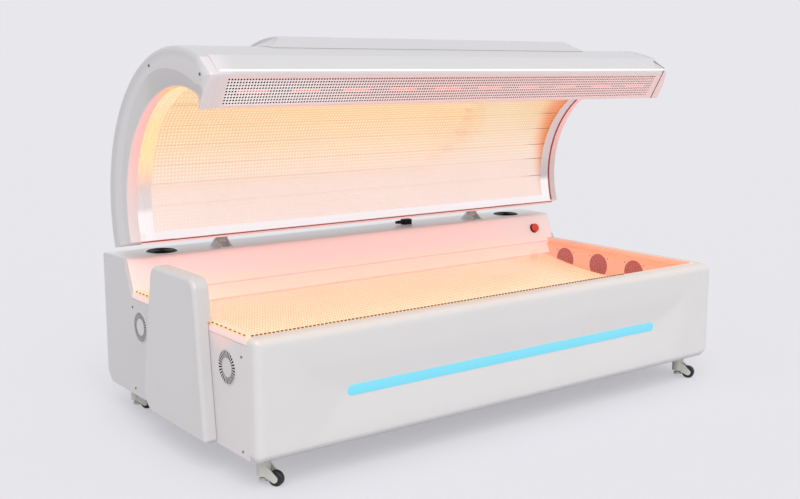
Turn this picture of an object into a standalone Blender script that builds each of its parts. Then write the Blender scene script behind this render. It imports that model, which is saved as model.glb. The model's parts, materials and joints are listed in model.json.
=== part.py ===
"""Red light therapy bed: a lit tub under a clear sheet, and a lit C-shaped canopy hinged at the back.

Metres, +Z up. +X runs from the head end to the foot end, and -Y is the open front. The origin is on the
floor, under the middle of the whole object. The canopy stands open, as it does when one gets in.
"""
import math

import bmesh
import bpy
from mathutils import Matrix, Vector

# Overall sizes
BASE_LENGTH = 2.130
BASE_DEPTH = 1.157
BASE_BOTTOM = 0.100
RIM_HEIGHT = 0.487
CONSOLE_HEIGHT = 0.5935
COVER_OUT = 0.045
GAP = 0.0003

# Front panel, with a hip-shaped recess round the light strip
FRONT_PANEL_DEPTH = 0.050
FRONT_SKIN = 0.034
FRONT_BORDER = 0.020
FRONT_TOP_ROUND = 0.030
FRONT_CHAMFER = 0.025
FRONT_END_ROUND = 0.012
RECESS_DEPTH = 0.018
RECESS_TOP = 0.372
RECESS_BOTTOM = 0.150
RECESS_TOP_INSET = 0.159
RECESS_BOTTOM_INSET = 0.217
BROW_TOP = 0.448
BROW_DEPTH = 0.003
BROW_INSET = 0.045
STRIP_HEIGHT = 0.270
STRIP_LENGTH = 1.460
STRIP_WIDTH = 0.028
STRIP_SET_BACK = 0.0155
STRIP_THICKNESS = 0.010

# Sheet panels
END_PANEL = 0.012
REAR_PANEL = 0.008
REAR_INSET = 0.004
TRAY_SHEET = 0.003
BACK_CORNER_CUT = 0.035

# Rear console
CONSOLE_TOP_DEPTH = 0.195
CONSOLE_SLOPE = math.radians(24.1)
CONSOLE_FOOT = 0.416
CONSOLE_BACK_FOOT = 0.400
CONSOLE_WALL = 0.008
CONSOLE_FRONT_ROUND = 0.015
CONSOLE_BACK_ROUND = 0.012

# Rim, sheet and tub
RIM_WIDTH = 0.045
RIM_FRONT = 0.062
RIM_THICKNESS = 0.0277
RIM_ROUND = 0.024
SHEET_THICKNESS = 0.012
SHEET_CORNER = 0.030
LEDGE = 0.012
TUB_WALL = 0.008
TUB_BOTTOM = 0.330
LED_EDGE = 0.407
LED_MIDDLE = 0.3615
LED_TRAY = 0.006
LED_AIR_GAP = 0.006

# Vents and fans
FOOT_VENT_RADIUS = 0.052
FOOT_VENT_HOLE = 0.044
FOOT_VENT_FLANGE = 0.0025
FOOT_VENT_HEIGHT = 0.397
FOOT_VENT_SPACING = 0.207
FOOT_VENTS = 3
FOOT_VENT_FROM_BACK = 0.3795
PERFORATION = 0.0055
PERFORATION_RINGS = 3
HEAD_VENT_RADIUS = 0.058
HEAD_VENT_HOLE = 0.0545
HEAD_VENT_FLANGE = 0.0025
HEAD_VENT_HEIGHT = 0.3675
HEAD_VENT_FROM_FRONT = 0.1795
HEAD_VENT_FROM_BACK = 0.3255
SLOT_COUNT = 22
SLOT_WIDTH = 0.0042
SLOT_INNER = 0.034
SLOT_OUTER = 0.052
FAN_SIZE = 0.092
FAN_DEPTH = 0.025
FAN_BORE = 0.043
FAN_TIP_GAP = 0.002
FAN_HUB = 0.016
FAN_PIN = 0.004
FAN_BAR = 0.010
FAN_BLADES = 7
BLADE_THICKNESS = 0.002
BLADE_PITCH = math.radians(38)
BLADE_FILL = 0.8

# Head-end cover
COVER_LAP = 0.010
COVER_TOP = 0.6275
COVER_TOP_SPAN = (-0.2645, 0.0585)
COVER_FOOT_SPAN = (-0.3175, 0.1665)
COVER_CORNERS = (0.015, 0.075, 0.045, 0.045)
COVER_EDGE_ROUND = 0.016

# Things on the console
SPEAKER_RADIUS = 0.050
SPEAKER_BASKET = 0.040
SPEAKER_DEPTH = 0.030
SPEAKER_FLANGE = 0.003
SPEAKER_FROM_END = 0.188
SPEAKER_SET_BACK = 0.107
ESTOP_FROM_FOOT = 0.1135
ESTOP_BEZEL = 0.022
ESTOP_BEZEL_HEIGHT = 0.004
ESTOP_BODY = 0.011
ESTOP_BODY_LENGTH = 0.030
ESTOP_STEM = 0.007
ESTOP_HEAD = 0.020
ESTOP_HEAD_HEIGHT = 0.014
ESTOP_DOME = ((0.55, 0.08), (0.88, 0.32), (1.0, 0.62))
ESTOP_TRAVEL = 0.004
BLOCK_SIZE = (0.042, 0.030, 0.023)
BLOCK_FROM_MIDDLE = 0.300
BLOCK_FROM_BACK = 0.088
GLAND_LENGTH = 0.036
GLAND_RADII = (0.009, 0.006)

# Electrics
INLET_SIZE = (0.050, 0.030)
INLET_FLANGE = 0.008
INLET_PLATE = 0.003
INLET_DEPTH = 0.028
INLET_PIN = (0.002, 0.014, 0.004)
INLET_FROM_HEAD = 0.300
INLET_HEIGHT = 0.200
DRIVER_SIZE = (0.360, 0.140, 0.070)
DRIVER_FIN = 0.006
DRIVER_FINS = 7
DRIVER_FIN_HEIGHT = 0.014

# Chassis
BAR = 0.030
POST_INSET = 0.002
CROSS_BARS = (-0.36, 0.36)

# Casters
CASTER_INSET_X = 0.0725
CASTER_INSET_Y = 0.094
CASTER_CAP = 0.030
CASTER_CAP_THICKNESS = 0.006
CASTER_HUB = 0.023
CASTER_HUB_BOTTOM = 0.030
CASTER_TRAIL = 0.043
CASTER_TURN = math.radians(-59)
WHEEL_RADIUS = 0.025
WHEEL_WIDTH = 0.022
WHEEL_BORE_GAP = 0.0004
AXLE_RADIUS = 0.004
FORK_CHEEK = 0.005
FORK_GAP = 0.0015
FORK_BOSS = 0.012
PAD_RADIUS = 0.0165
PAD_THICKNESS = 0.009
PAD_SHOULDER = 0.0132
PAD_CLEARANCE = 0.013
STEM_RADIUS = 0.007
STEM_LENGTH = 0.040
WHEEL_SIDES = 24

# Canopy, in the plane across its length and from the hinge axis
HINGE_FROM_BACK = 0.132
HINGE_ABOVE_CONSOLE = 0.0215
BOTTOM_CORNER = (0.0252, 0.0103)
BOTTOM_EDGE = (-0.1326, 0.0490)
OUTER_RADIUS = 0.560
CANOPY_DEPTH = 0.140
BOTTOM_ANGLE = math.radians(-17.1)
INNER_BOTTOM_ANGLE = math.radians(-18.9)
SHELL_END_ANGLE = math.radians(109)
INNER_END_ANGLE = math.radians(110)
LIP_REACH = (-0.0737, -0.0595)
LIP_FACE = (0.0645, -0.1110)
LIP_WALL = 0.005
SHELL_WALL = 0.006
CHEEK = 0.040
CHEEK_ROUND = 0.018
CHEEK_BAND = 0.034
CHEEK_STEP = 0.008
ARC_STEPS = 24
TRIM_WIDTH = 0.025
TRIM_THICKNESS = 0.010
COVER_SHEET = 0.004
COVER_SHEET_BACK = 0.003
LED_STRIPS = 7
LED_BACK = 0.026
LED_CARRIER = 0.005
BOTTOM_TRIM_ANGLE = math.radians(4.2)
BOTTOM_ROUND = 0.012
LIP_LAND = math.radians(1.5)
LIP_ROUND = 0.006
SHEET_END = math.radians(1)
GRILLE_MARGIN = 0.016
GRILLE_END = 0.036
GRILLE_PLATE = 0.003
LIGHT_BAR = (0.030, 0.014)
HOUSING_LENGTH = 1.470
HOUSING_HEIGHT = 0.034
HOUSING_START = math.radians(56)
HOUSING_END = math.radians(100)
HOUSING_TAPER = 0.060
HOUSING_SIDE_TAPER = math.radians(6)

# Hinges
HINGE_OFFSET = 0.640
PIN_RADIUS = 0.005
KNUCKLE_RADIUS = 0.012
KNUCKLE_LENGTH = 0.036
EAR = 0.006
EAR_FRONT = 0.052
EAR_BACK = 0.040
FOOT_PLATE = 0.003
LEAF_LENGTH = 0.042
LEAF_INSET = 0.001

# Places worked out from the sizes above
HEAD_X = (COVER_OUT - BASE_LENGTH) / 2
FOOT_X = (COVER_OUT + BASE_LENGTH) / 2
MID_X = (HEAD_X + FOOT_X) / 2
FRONT_Y = -BASE_DEPTH / 2
BACK_Y = BASE_DEPTH / 2
FRONT_BACK_Y = FRONT_Y + FRONT_PANEL_DEPTH
RIM_BOTTOM = RIM_HEIGHT - RIM_THICKNESS
END_TOP = RIM_BOTTOM - GAP
SHEET_TOP = END_TOP + SHEET_THICKNESS
LEDGE_TOP = END_TOP - GAP
LEDGE_BOTTOM = LEDGE_TOP - TUB_WALL
CONSOLE_FRONT_Y = BACK_Y - CONSOLE_TOP_DEPTH
ESTOP_HEIGHT = (SHEET_TOP + CONSOLE_HEIGHT) / 2
CONSOLE_LOWEST = CONSOLE_FOOT - CONSOLE_WALL * math.sin(CONSOLE_SLOPE)
TUB_BACK_TOP = CONSOLE_LOWEST - GAP
INSIDE_HEAD = HEAD_X + END_PANEL + GAP
INSIDE_FOOT = FOOT_X - END_PANEL - GAP
TUB_HEAD = HEAD_X + RIM_WIDTH + LEDGE
TUB_FOOT = FOOT_X - RIM_WIDTH - LEDGE
TUB_FRONT = FRONT_Y + RIM_FRONT + LEDGE
REAR_FACE_Y = BACK_Y - REAR_INSET
HEAD_VENT_PLACES = {"front": FRONT_Y + HEAD_VENT_FROM_FRONT, "rear": BACK_Y - HEAD_VENT_FROM_BACK}
HINGE = Vector((BACK_Y - HINGE_FROM_BACK, CONSOLE_HEIGHT + HINGE_ABOVE_CONSOLE))
CANOPY = Matrix.Translation((0, HINGE.x, HINGE.y))
OUTER_CENTRE = Vector(BOTTOM_CORNER) - OUTER_RADIUS * Vector((math.cos(BOTTOM_ANGLE), math.sin(BOTTOM_ANGLE)))
INNER_RADIUS = OUTER_RADIUS - CANOPY_DEPTH
INNER_START = Vector((math.cos(INNER_BOTTOM_ANGLE), math.sin(INNER_BOTTOM_ANGLE)))
INNER_CENTRE = Vector(BOTTOM_EDGE) - INNER_RADIUS * INNER_START
SHELL_END = OUTER_CENTRE + OUTER_RADIUS * Vector((math.cos(SHELL_END_ANGLE), math.sin(SHELL_END_ANGLE)))
LIP_TOP = SHELL_END + Vector(LIP_REACH)
LIP_BOTTOM = LIP_TOP + Vector(LIP_FACE)
CANOPY_HEAD = HEAD_X + CHEEK + GAP
CANOPY_FOOT = FOOT_X - CHEEK - GAP
FLOOR_SHEET_TOP = BASE_BOTTOM + TRAY_SHEET
AXLE_HEIGHT = WHEEL_RADIUS * math.cos(math.pi / WHEEL_SIDES)


def console_face(height):
    """Y of the console's slanted inner face at a height."""
    return CONSOLE_FRONT_Y - (CONSOLE_HEIGHT - height) * math.tan(CONSOLE_SLOPE)


def new_collection(name):
    """A collection in the scene."""
    collection = bpy.data.collections.new(name)
    bpy.context.scene.collection.children.link(collection)
    return collection


for old in list(bpy.data.objects):
    bpy.data.objects.remove(old, do_unlink=True)
PARTS = new_collection("red_light_therapy_bed")
CUTTERS = new_collection("cutters")

# Views of a flat outline: its own two axes go to Y and Z, to X and Y, or to X and Z
ACROSS = Matrix(((0, 0, 1), (1, 0, 0), (0, 1, 0))).to_4x4()
PLAN = Matrix.Identity(4)
UPRIGHT = Matrix(((1, 0, 0), (0, 0, -1), (0, 1, 0))).to_4x4()


def finish(name, colour, roughness, metallic=0.0):
    """A Principled material."""
    material = bpy.data.materials.new(name)
    material.use_nodes = True
    shader = material.node_tree.nodes["Principled BSDF"]
    shader.inputs["Base Color"].default_value = (*colour, 1)
    shader.inputs["Roughness"].default_value = roughness
    shader.inputs["Metallic"].default_value = metallic
    return material


WHITE = finish("white_shell", (0.84, 0.84, 0.85), 0.35)
PALE = finish("pale_panel", (0.78, 0.78, 0.79), 0.4)
STEEL = finish("painted_steel", (0.35, 0.36, 0.38), 0.5, 0.6)
SILVER = finish("polished_aluminium", (0.86, 0.86, 0.87), 0.18, 1.0)
CLEAR = finish("clear_acrylic", (0.97, 0.86, 0.82), 0.03)
LED_FACE = finish("led_board", (0.95, 0.72, 0.45), 0.5)
TUB_FACE = finish("lit_wall", (0.98, 0.62, 0.50), 0.5)
BLUE = finish("blue_diffuser", (0.22, 0.72, 0.94), 0.3)
BLACK = finish("black_plastic", (0.02, 0.02, 0.02), 0.5)
GRILLE = finish("vent_grille", (0.55, 0.54, 0.54), 0.5)
DARK_RED = finish("foot_vent", (0.50, 0.18, 0.13), 0.6)
RED = finish("stop_red", (0.80, 0.03, 0.02), 0.35)
CAST = finish("caster_cast", (0.76, 0.76, 0.71), 0.45, 0.3)
TYRE = finish("caster_tyre", (0.02, 0.02, 0.02), 0.6)


def new_part(name, mesh, material, matrix=None):
    """One named piece of the bed."""
    piece = bpy.data.objects.new(name, mesh)
    PARTS.objects.link(piece)
    if matrix is not None:
        piece.matrix_basis = matrix
    mesh.name = name
    mesh.materials.clear()
    mesh.materials.append(material)
    mesh.shade_smooth()
    mesh.set_sharp_from_angle(angle=math.radians(32))
    return piece


def new_cutter(name, mesh):
    """A wire object that only cuts or joins."""
    cutter = bpy.data.objects.new(name, mesh)
    CUTTERS.objects.link(cutter)
    cutter.hide_render = True
    cutter.display_type = "WIRE"
    return cutter


def combine(piece, mesh, operation):
    """Cut a piece with a mesh in the piece's own frame, or join the mesh to it."""
    tool = new_cutter(f"{piece.name}_{operation.lower()}_{len(piece.modifiers)}", mesh)
    tool.matrix_basis = piece.matrix_basis
    modifier = piece.modifiers.new(operation.lower(), "BOOLEAN")
    modifier.operation = operation
    modifier.solver = "EXACT"
    modifier.object = tool


def cut(piece, mesh):
    combine(piece, mesh, "DIFFERENCE")


def join(piece, mesh):
    combine(piece, mesh, "UNION")


def mesh_from(bm, name):
    mesh = bpy.data.meshes.new(name)
    bmesh.ops.recalc_face_normals(bm, faces=bm.faces)
    bm.to_mesh(mesh)
    bm.free()
    return mesh


def box(low, high):
    """A box between two corners."""
    low, high = Vector(low), Vector(high)
    bm = bmesh.new()
    bmesh.ops.create_cube(bm, size=1)
    bmesh.ops.scale(bm, vec=high - low, verts=bm.verts)
    bmesh.ops.translate(bm, vec=(low + high) / 2, verts=bm.verts)
    return mesh_from(bm, "box")


def rod(start, end, radius, end_radius=None, sides=24, turn=0.0):
    """A round bar or a cone between two points."""
    start, end = Vector(start), Vector(end)
    axis = end - start
    bm = bmesh.new()
    bmesh.ops.create_cone(
        bm, cap_ends=True, segments=sides, radius1=radius,
        radius2=radius if end_radius is None else end_radius, depth=axis.length)
    place = Matrix.Translation((start + end) / 2) @ axis.to_track_quat("Z", "Y").to_matrix().to_4x4()
    bmesh.ops.transform(bm, matrix=place @ Matrix.Rotation(turn, 4, "Z"), verts=bm.verts)
    return mesh_from(bm, "rod")


def hull(points):
    """The convex solid round a few points."""
    bm = bmesh.new()
    for point in points:
        bm.verts.new(point)
    bmesh.ops.convex_hull(bm, input=bm.verts)
    return mesh_from(bm, "hull")


def outline_solid(loops, low, high, view):
    """A filled 2D curve with an extrude, made a mesh, from low to high along the view's thickness."""
    curve = bpy.data.curves.new("outline", "CURVE")
    curve.dimensions = "2D"
    curve.fill_mode = "BOTH"
    curve.extrude = (high - low) / 2
    for loop in loops:
        spline = curve.splines.new("POLY")
        spline.points.add(len(loop) - 1)
        for point, (u, v) in zip(spline.points, loop):
            point.co = (u, v, 0, 1)
        spline.use_cyclic_u = True
    flat = bpy.data.objects.new("outline", curve)
    bpy.context.scene.collection.objects.link(flat)
    graph = bpy.context.evaluated_depsgraph_get()
    made = bpy.data.meshes.new_from_object(flat.evaluated_get(graph))
    bpy.data.objects.remove(flat, do_unlink=True)
    bm = bmesh.new()
    bm.from_mesh(made)
    bpy.data.meshes.remove(made)
    bmesh.ops.remove_doubles(bm, verts=bm.verts, dist=0.00001)
    bmesh.ops.dissolve_limit(bm, angle_limit=math.radians(0.2), verts=bm.verts, edges=bm.edges)
    bmesh.ops.transform(bm, matrix=view @ Matrix.Translation((0, 0, (low + high) / 2)), verts=bm.verts)
    return mesh_from(bm, "outline")


def across(loop, low, high):
    """A profile in Y and Z, run along X."""
    return outline_solid([loop], low, high, ACROSS)


def plan(loops, low, high):
    """An outline in X and Y, with any holes, between two heights."""
    return outline_solid(loops, low, high, PLAN)


def upright(loop, low, high):
    """An outline in X and Z, between two places along Y."""
    return outline_solid([loop], -high, -low, UPRIGHT)


def rectangle(low_u, low_v, high_u, high_v):
    return [(low_u, low_v), (high_u, low_v), (high_u, high_v), (low_u, high_v)]


def arc(centre, radius, start, end, steps):
    """Points on an arc, both ends included."""
    angles = [start + (end - start) * step / steps for step in range(steps + 1)]
    return [(centre[0] + radius * math.cos(a), centre[1] + radius * math.sin(a)) for a in angles]


def fillet(before, corner, after, radius, steps=5):
    """The arc that rounds one corner of an outline."""
    corner = Vector(corner)
    to_before = (Vector(before) - corner).normalized()
    to_after = (Vector(after) - corner).normalized()
    half = to_before.angle(to_after) / 2
    centre = corner + (to_before + to_after).normalized() * (radius / math.sin(half))
    first = corner + to_before * (radius / math.tan(half)) - centre
    last = corner + to_after * (radius / math.tan(half)) - centre
    turn = first.angle_signed(last)
    points = []
    for step in range(steps + 1):
        angle = math.atan2(first.y, first.x) - turn * step / steps
        points.append((centre.x + radius * math.cos(angle), centre.y + radius * math.sin(angle)))
    return points


def rounded(points, radii, closed=True):
    """An outline with a radius at each corner; a radius of zero keeps the corner sharp."""
    made = []
    for index, (corner, radius) in enumerate(zip(points, radii)):
        open_end = not closed and index in (0, len(points) - 1)
        if radius == 0 or open_end:
            made.append(tuple(corner))
        else:
            made += fillet(points[index - 1], corner, points[(index + 1) % len(points)], radius)
    return made


def offset_path(points, distance):
    """An open path moved to its left, with mitred corners."""
    points = [Vector(point) for point in points]
    sides = [(b - a).normalized() for a, b in zip(points, points[1:])]
    lefts = [Vector((-side.y, side.x)) for side in sides]
    moved = [points[0] + lefts[0] * distance]
    for point, left, right in zip(points[1:-1], lefts, lefts[1:]):
        mitre = (left + right).normalized()
        moved.append(point + mitre * (distance / mitre.dot(left)))
    moved.append(points[-1] + lefts[-1] * distance)
    return [tuple(point) for point in moved]


def folded(path, thickness):
    """The outline of a sheet of even thickness on the left of a path."""
    return [tuple(point) for point in path] + offset_path(path, thickness)[::-1]


def turned(profile, sides):
    """A profile of (radius, height) from the axis at the top to the axis at the bottom, turned about Z."""
    mesh = bpy.data.meshes.new("turned")
    mesh.from_pydata([(r, 0, h) for r, h in profile], [(i, i + 1) for i in range(len(profile) - 1)], [])
    lathe = bpy.data.objects.new("turned", mesh)
    bpy.context.scene.collection.objects.link(lathe)
    screw = lathe.modifiers.new("screw", "SCREW")
    screw.steps = sides
    screw.render_steps = sides
    screw.use_merge_vertices = True
    screw.merge_threshold = 0.00001
    graph = bpy.context.evaluated_depsgraph_get()
    made = bpy.data.meshes.new_from_object(lathe.evaluated_get(graph))
    bpy.data.objects.remove(lathe, do_unlink=True)
    bm = bmesh.new()
    bm.from_mesh(made)
    bpy.data.meshes.remove(made)
    bmesh.ops.remove_doubles(bm, verts=bm.verts, dist=0.00001)
    bmesh.ops.dissolve_degenerate(bm, dist=0.000001, edges=bm.edges)
    bmesh.ops.dissolve_limit(bm, angle_limit=math.radians(0.2), verts=bm.verts, edges=bm.edges)
    return mesh_from(bm, "turned")


def moved(mesh, matrix):
    """A mesh carried to its place."""
    mesh.transform(matrix)
    return mesh


def round_edges(mesh, radius, segments, chosen):
    """Round the edges of a mesh that a test picks by their two ends."""
    bm = bmesh.new()
    bm.from_mesh(mesh)
    edges = [edge for edge in bm.edges if chosen(edge.verts[0].co, edge.verts[1].co)]
    bmesh.ops.bevel(bm, geom=edges, offset=radius, segments=segments, profile=0.5, affect="EDGES",
                    clamp_overlap=True)
    bmesh.ops.recalc_face_normals(bm, faces=bm.faces)
    bm.to_mesh(mesh)
    bm.free()
    return mesh


def near(a, b):
    return abs(a - b) < 0.00005


def pivot(name, place):
    """An empty on a joint's axis."""
    empty = bpy.data.objects.new(name, None)
    PARTS.objects.link(empty)
    empty.location = place
    return empty


def carry(empty, *pieces):
    """Hang pieces on an empty without moving them."""
    for piece in pieces:
        piece.parent = empty
        piece.matrix_parent_inverse = Matrix.Translation(empty.location).inverted()


def front_panel():
    """The moulded front: a rounded top, a chamfered foot, and a hip-shaped recess for the light strip."""
    profile = rounded(
        [(FRONT_CHAMFER, BASE_BOTTOM), (FRONT_PANEL_DEPTH, BASE_BOTTOM), (FRONT_PANEL_DEPTH, RIM_HEIGHT),
         (0, RIM_HEIGHT), (0, BASE_BOTTOM + FRONT_CHAMFER)],
        [0, 0, 0, FRONT_TOP_ROUND, 0])
    face = Matrix.Translation((0, FRONT_Y, 0))
    mesh = across(profile, HEAD_X, FOOT_X)

    def on_end(a, b):
        at_end = near(a.x, b.x) and (near(a.x, HEAD_X) or near(a.x, FOOT_X))
        return at_end and not near(a.y + b.y, 2 * FRONT_PANEL_DEPTH) and not near(a.z + b.z, 2 * BASE_BOTTOM)

    panel = new_part("front_panel", round_edges(mesh, FRONT_END_ROUND, 3, on_end), WHITE, face)
    slope = (RECESS_DEPTH - BROW_DEPTH) / (RECESS_TOP - STRIP_HEIGHT)
    rise = BROW_DEPTH / slope
    top_half = BASE_LENGTH / 2 - RECESS_TOP_INSET
    foot_half = BASE_LENGTH / 2 - RECESS_BOTTOM_INSET
    brow_half = BASE_LENGTH / 2 - BROW_INSET
    lead = (top_half - STRIP_LENGTH / 2) / (RECESS_TOP - STRIP_HEIGHT)
    recess = []
    shade = []
    for side in (-1, 1):
        recess.append((MID_X + side * STRIP_LENGTH / 2, RECESS_DEPTH, STRIP_HEIGHT))
        for depth in (-RECESS_DEPTH, 0):
            recess.append((MID_X + side * (top_half + lead * rise), depth, RECESS_TOP + rise))
            recess.append((MID_X + side * foot_half, depth, RECESS_BOTTOM))
            shade.append((MID_X + side * brow_half, depth, BROW_TOP))
            shade.append((MID_X + side * top_half, depth, RECESS_TOP))
        shade.append((MID_X + side * top_half, BROW_DEPTH, RECESS_TOP))
    cut(panel, hull(recess))
    cut(panel, hull(shade))
    low = (HEAD_X + FRONT_BORDER, FRONT_SKIN, BASE_BOTTOM + FRONT_BORDER)
    high = (FOOT_X - FRONT_BORDER, FRONT_PANEL_DEPTH + FRONT_SKIN, RIM_HEIGHT - FRONT_BORDER)
    cut(panel, box(low, high))
    cut(panel, strip_solid(STRIP_WIDTH / 2 + GAP, 0, STRIP_SET_BACK + STRIP_THICKNESS + GAP))
    strip = strip_solid(STRIP_WIDTH / 2, STRIP_SET_BACK, STRIP_THICKNESS)
    new_part("front_light_strip", strip, BLUE, face)


def strip_solid(radius, face, depth):
    """A bar with round ends along the recess, from its face back."""
    half = STRIP_LENGTH / 2 - STRIP_WIDTH / 2
    right = arc((MID_X + half, STRIP_HEIGHT), radius, -math.pi / 2, math.pi / 2, 8)
    left = arc((MID_X - half, STRIP_HEIGHT), radius, math.pi / 2, 3 * math.pi / 2, 8)
    return upright(right + left, face, face + depth)


def console_outline(swell=0.0, foot=CONSOLE_FOOT):
    """The console's outer path from its slanted foot, over the top, to its back foot."""
    corners = [(console_face(foot), foot), (CONSOLE_FRONT_Y, CONSOLE_HEIGHT),
               (BACK_Y, CONSOLE_HEIGHT), (BACK_Y, CONSOLE_BACK_FOOT)]
    radii = [0, CONSOLE_FRONT_ROUND + swell, CONSOLE_BACK_ROUND + swell, 0]
    return rounded(offset_path(corners, swell), radii, closed=False)


def console_solid(swell):
    """The console filled in, for what is cut to its slanted face."""
    path = console_outline(swell, CONSOLE_LOWEST - 2 * swell)[:-1]
    return across(path + [(BACK_Y + swell, path[0][1])], HEAD_X - COVER_OUT, FOOT_X + COVER_OUT)


def end_panel(name, outer, inner):
    """An end sheet whose tower closes the console; its back corner is cut away at the floor."""
    towers = console_outline()[1:-1]
    front = FRONT_BACK_Y + GAP
    loop = [(front, BASE_BOTTOM), (BACK_Y - BACK_CORNER_CUT, BASE_BOTTOM),
            (BACK_Y, BASE_BOTTOM + BACK_CORNER_CUT)]
    loop += towers[::-1]
    loop += [(console_face(END_TOP), END_TOP), (front, END_TOP)]
    return new_part(name, across(loop, min(outer, inner), max(outer, inner)), PALE)


def end_panels():
    """Both ends; the head end has the two fan openings."""
    head = end_panel("head_end_panel", HEAD_X, HEAD_X + END_PANEL)
    end_panel("foot_end_panel", FOOT_X, FOOT_X - END_PANEL)
    for place in HEAD_VENT_PLACES.values():
        centre = (HEAD_X, place, HEAD_VENT_HEIGHT)
        cut(head, along_x(centre, HEAD_VENT_HOLE, -END_PANEL, 2 * END_PANEL, 32))


def along_x(centre, radius, low, high, sides=24):
    """A round bar along X, from low to high beside a centre."""
    x, y, z = centre
    return rod((x + low, y, z), (x + high, y, z), radius, sides=sides)


def rear_console():
    """The ridge: a folded shell, open below, with openings for the speakers and the stop button."""
    path = console_outline()[::-1]
    console = new_part("rear_console", across(folded(path, CONSOLE_WALL), INSIDE_HEAD, INSIDE_FOOT), WHITE)
    for x, y in speaker_places():
        low = (x, y, CONSOLE_HEIGHT - 2 * CONSOLE_WALL)
        cut(console, rod(low, (x, y, CONSOLE_HEIGHT + CONSOLE_WALL), SPEAKER_BASKET + GAP))
    hole = rod((0, 0, -2 * CONSOLE_WALL), (0, 0, CONSOLE_WALL), ESTOP_BODY + GAP)
    cut(console, moved(hole, estop_frame()))


def speaker_places():
    y = BACK_Y - SPEAKER_SET_BACK
    return [(HEAD_X + SPEAKER_FROM_END, y), (FOOT_X - SPEAKER_FROM_END, y)]


def estop_frame():
    """The stop button's frame: its origin on the slanted face and +Z out of it."""
    place = Vector((FOOT_X - ESTOP_FROM_FOOT, console_face(ESTOP_HEIGHT), ESTOP_HEIGHT))
    return Matrix.Translation(place) @ Matrix.Rotation(math.pi / 2 - CONSOLE_SLOPE, 4, "X")


def rear_panel():
    """The back sheet, with the mains inlet let into it."""
    low = (INSIDE_HEAD, REAR_FACE_Y - REAR_PANEL, BASE_BOTTOM)
    panel = new_part("rear_panel", box(low, (INSIDE_FOOT, REAR_FACE_Y, CONSOLE_BACK_FOOT - GAP)), PALE)
    x = HEAD_X + INLET_FROM_HEAD
    half_x, half_z = INLET_SIZE[0] / 2, INLET_SIZE[1] / 2
    opening = box((x - half_x - GAP, REAR_FACE_Y - 2 * REAR_PANEL, INLET_HEIGHT - half_z - GAP),
                  (x + half_x + GAP, REAR_FACE_Y + REAR_PANEL, INLET_HEIGHT + half_z + GAP))
    cut(panel, opening)
    seat = REAR_FACE_Y + GAP
    inlet = new_part("power_inlet", box(
        (x - half_x - INLET_FLANGE, seat, INLET_HEIGHT - half_z - INLET_FLANGE),
        (x + half_x + INLET_FLANGE, seat + INLET_PLATE, INLET_HEIGHT + half_z + INLET_FLANGE)), BLACK)
    inner = seat - INLET_DEPTH
    join(inlet, box((x - half_x, inner, INLET_HEIGHT - half_z),
                    (x + half_x, seat + INLET_PLATE / 2, INLET_HEIGHT + half_z)))
    wall = INLET_PLATE
    cut(inlet, box((x - half_x + wall, inner + wall, INLET_HEIGHT - half_z + wall),
                   (x + half_x - wall, seat + 2 * INLET_PLATE, INLET_HEIGHT + half_z - wall)))
    width, length, height = INLET_PIN
    for step in (-1, 0, 1):
        centre = x + step * INLET_SIZE[0] / 4
        join(inlet, box((centre - width / 2, inner + wall / 2, INLET_HEIGHT - height / 2),
                        (centre + width / 2, inner + wall + length, INLET_HEIGHT + height / 2)))


def bed_rim():
    """The moulding on three sides of the lying surface, cut to the console's face at the back."""
    mesh = plan([u_outline(HEAD_X, FRONT_BACK_Y + GAP, FOOT_X, RIM_WIDTH, RIM_FRONT)], RIM_BOTTOM, RIM_HEIGHT)

    def outer_top(a, b):
        ends = near(a.x, b.x) and (near(a.x, HEAD_X) or near(a.x, FOOT_X))
        return ends and near(a.z + b.z, 2 * RIM_HEIGHT)

    rim = new_part("bed_rim", round_edges(mesh, RIM_ROUND, 4, outer_top), WHITE)
    cut(rim, console_solid(GAP))


def u_outline(head, front, foot, width, depth):
    """A U in plan, open at the back: its outer edges, and its opening's width and depth from them."""
    back = CONSOLE_FRONT_Y
    inner = rounded([(FOOT_X - width, back), (FOOT_X - width, FRONT_Y + depth),
                     (HEAD_X + width, FRONT_Y + depth), (HEAD_X + width, back)],
                    [0, SHEET_CORNER, SHEET_CORNER, 0], closed=False)
    return [(head, back), (head, front), (foot, front), (foot, back)] + inner


def bed_sheet():
    """The clear sheet, inside the rim and on the tub's ledge."""
    low_x, high_x = HEAD_X + RIM_WIDTH + GAP, FOOT_X - RIM_WIDTH - GAP
    front = FRONT_Y + RIM_FRONT + GAP
    corner = SHEET_CORNER - GAP
    loop = rounded([(low_x, CONSOLE_FRONT_Y), (low_x, front), (high_x, front), (high_x, CONSOLE_FRONT_Y)],
                   [0, corner, corner, 0])
    sheet = new_part("bed_acrylic_sheet", plan([loop], END_TOP, SHEET_TOP), CLEAR)
    cut(sheet, console_solid(GAP))


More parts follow.
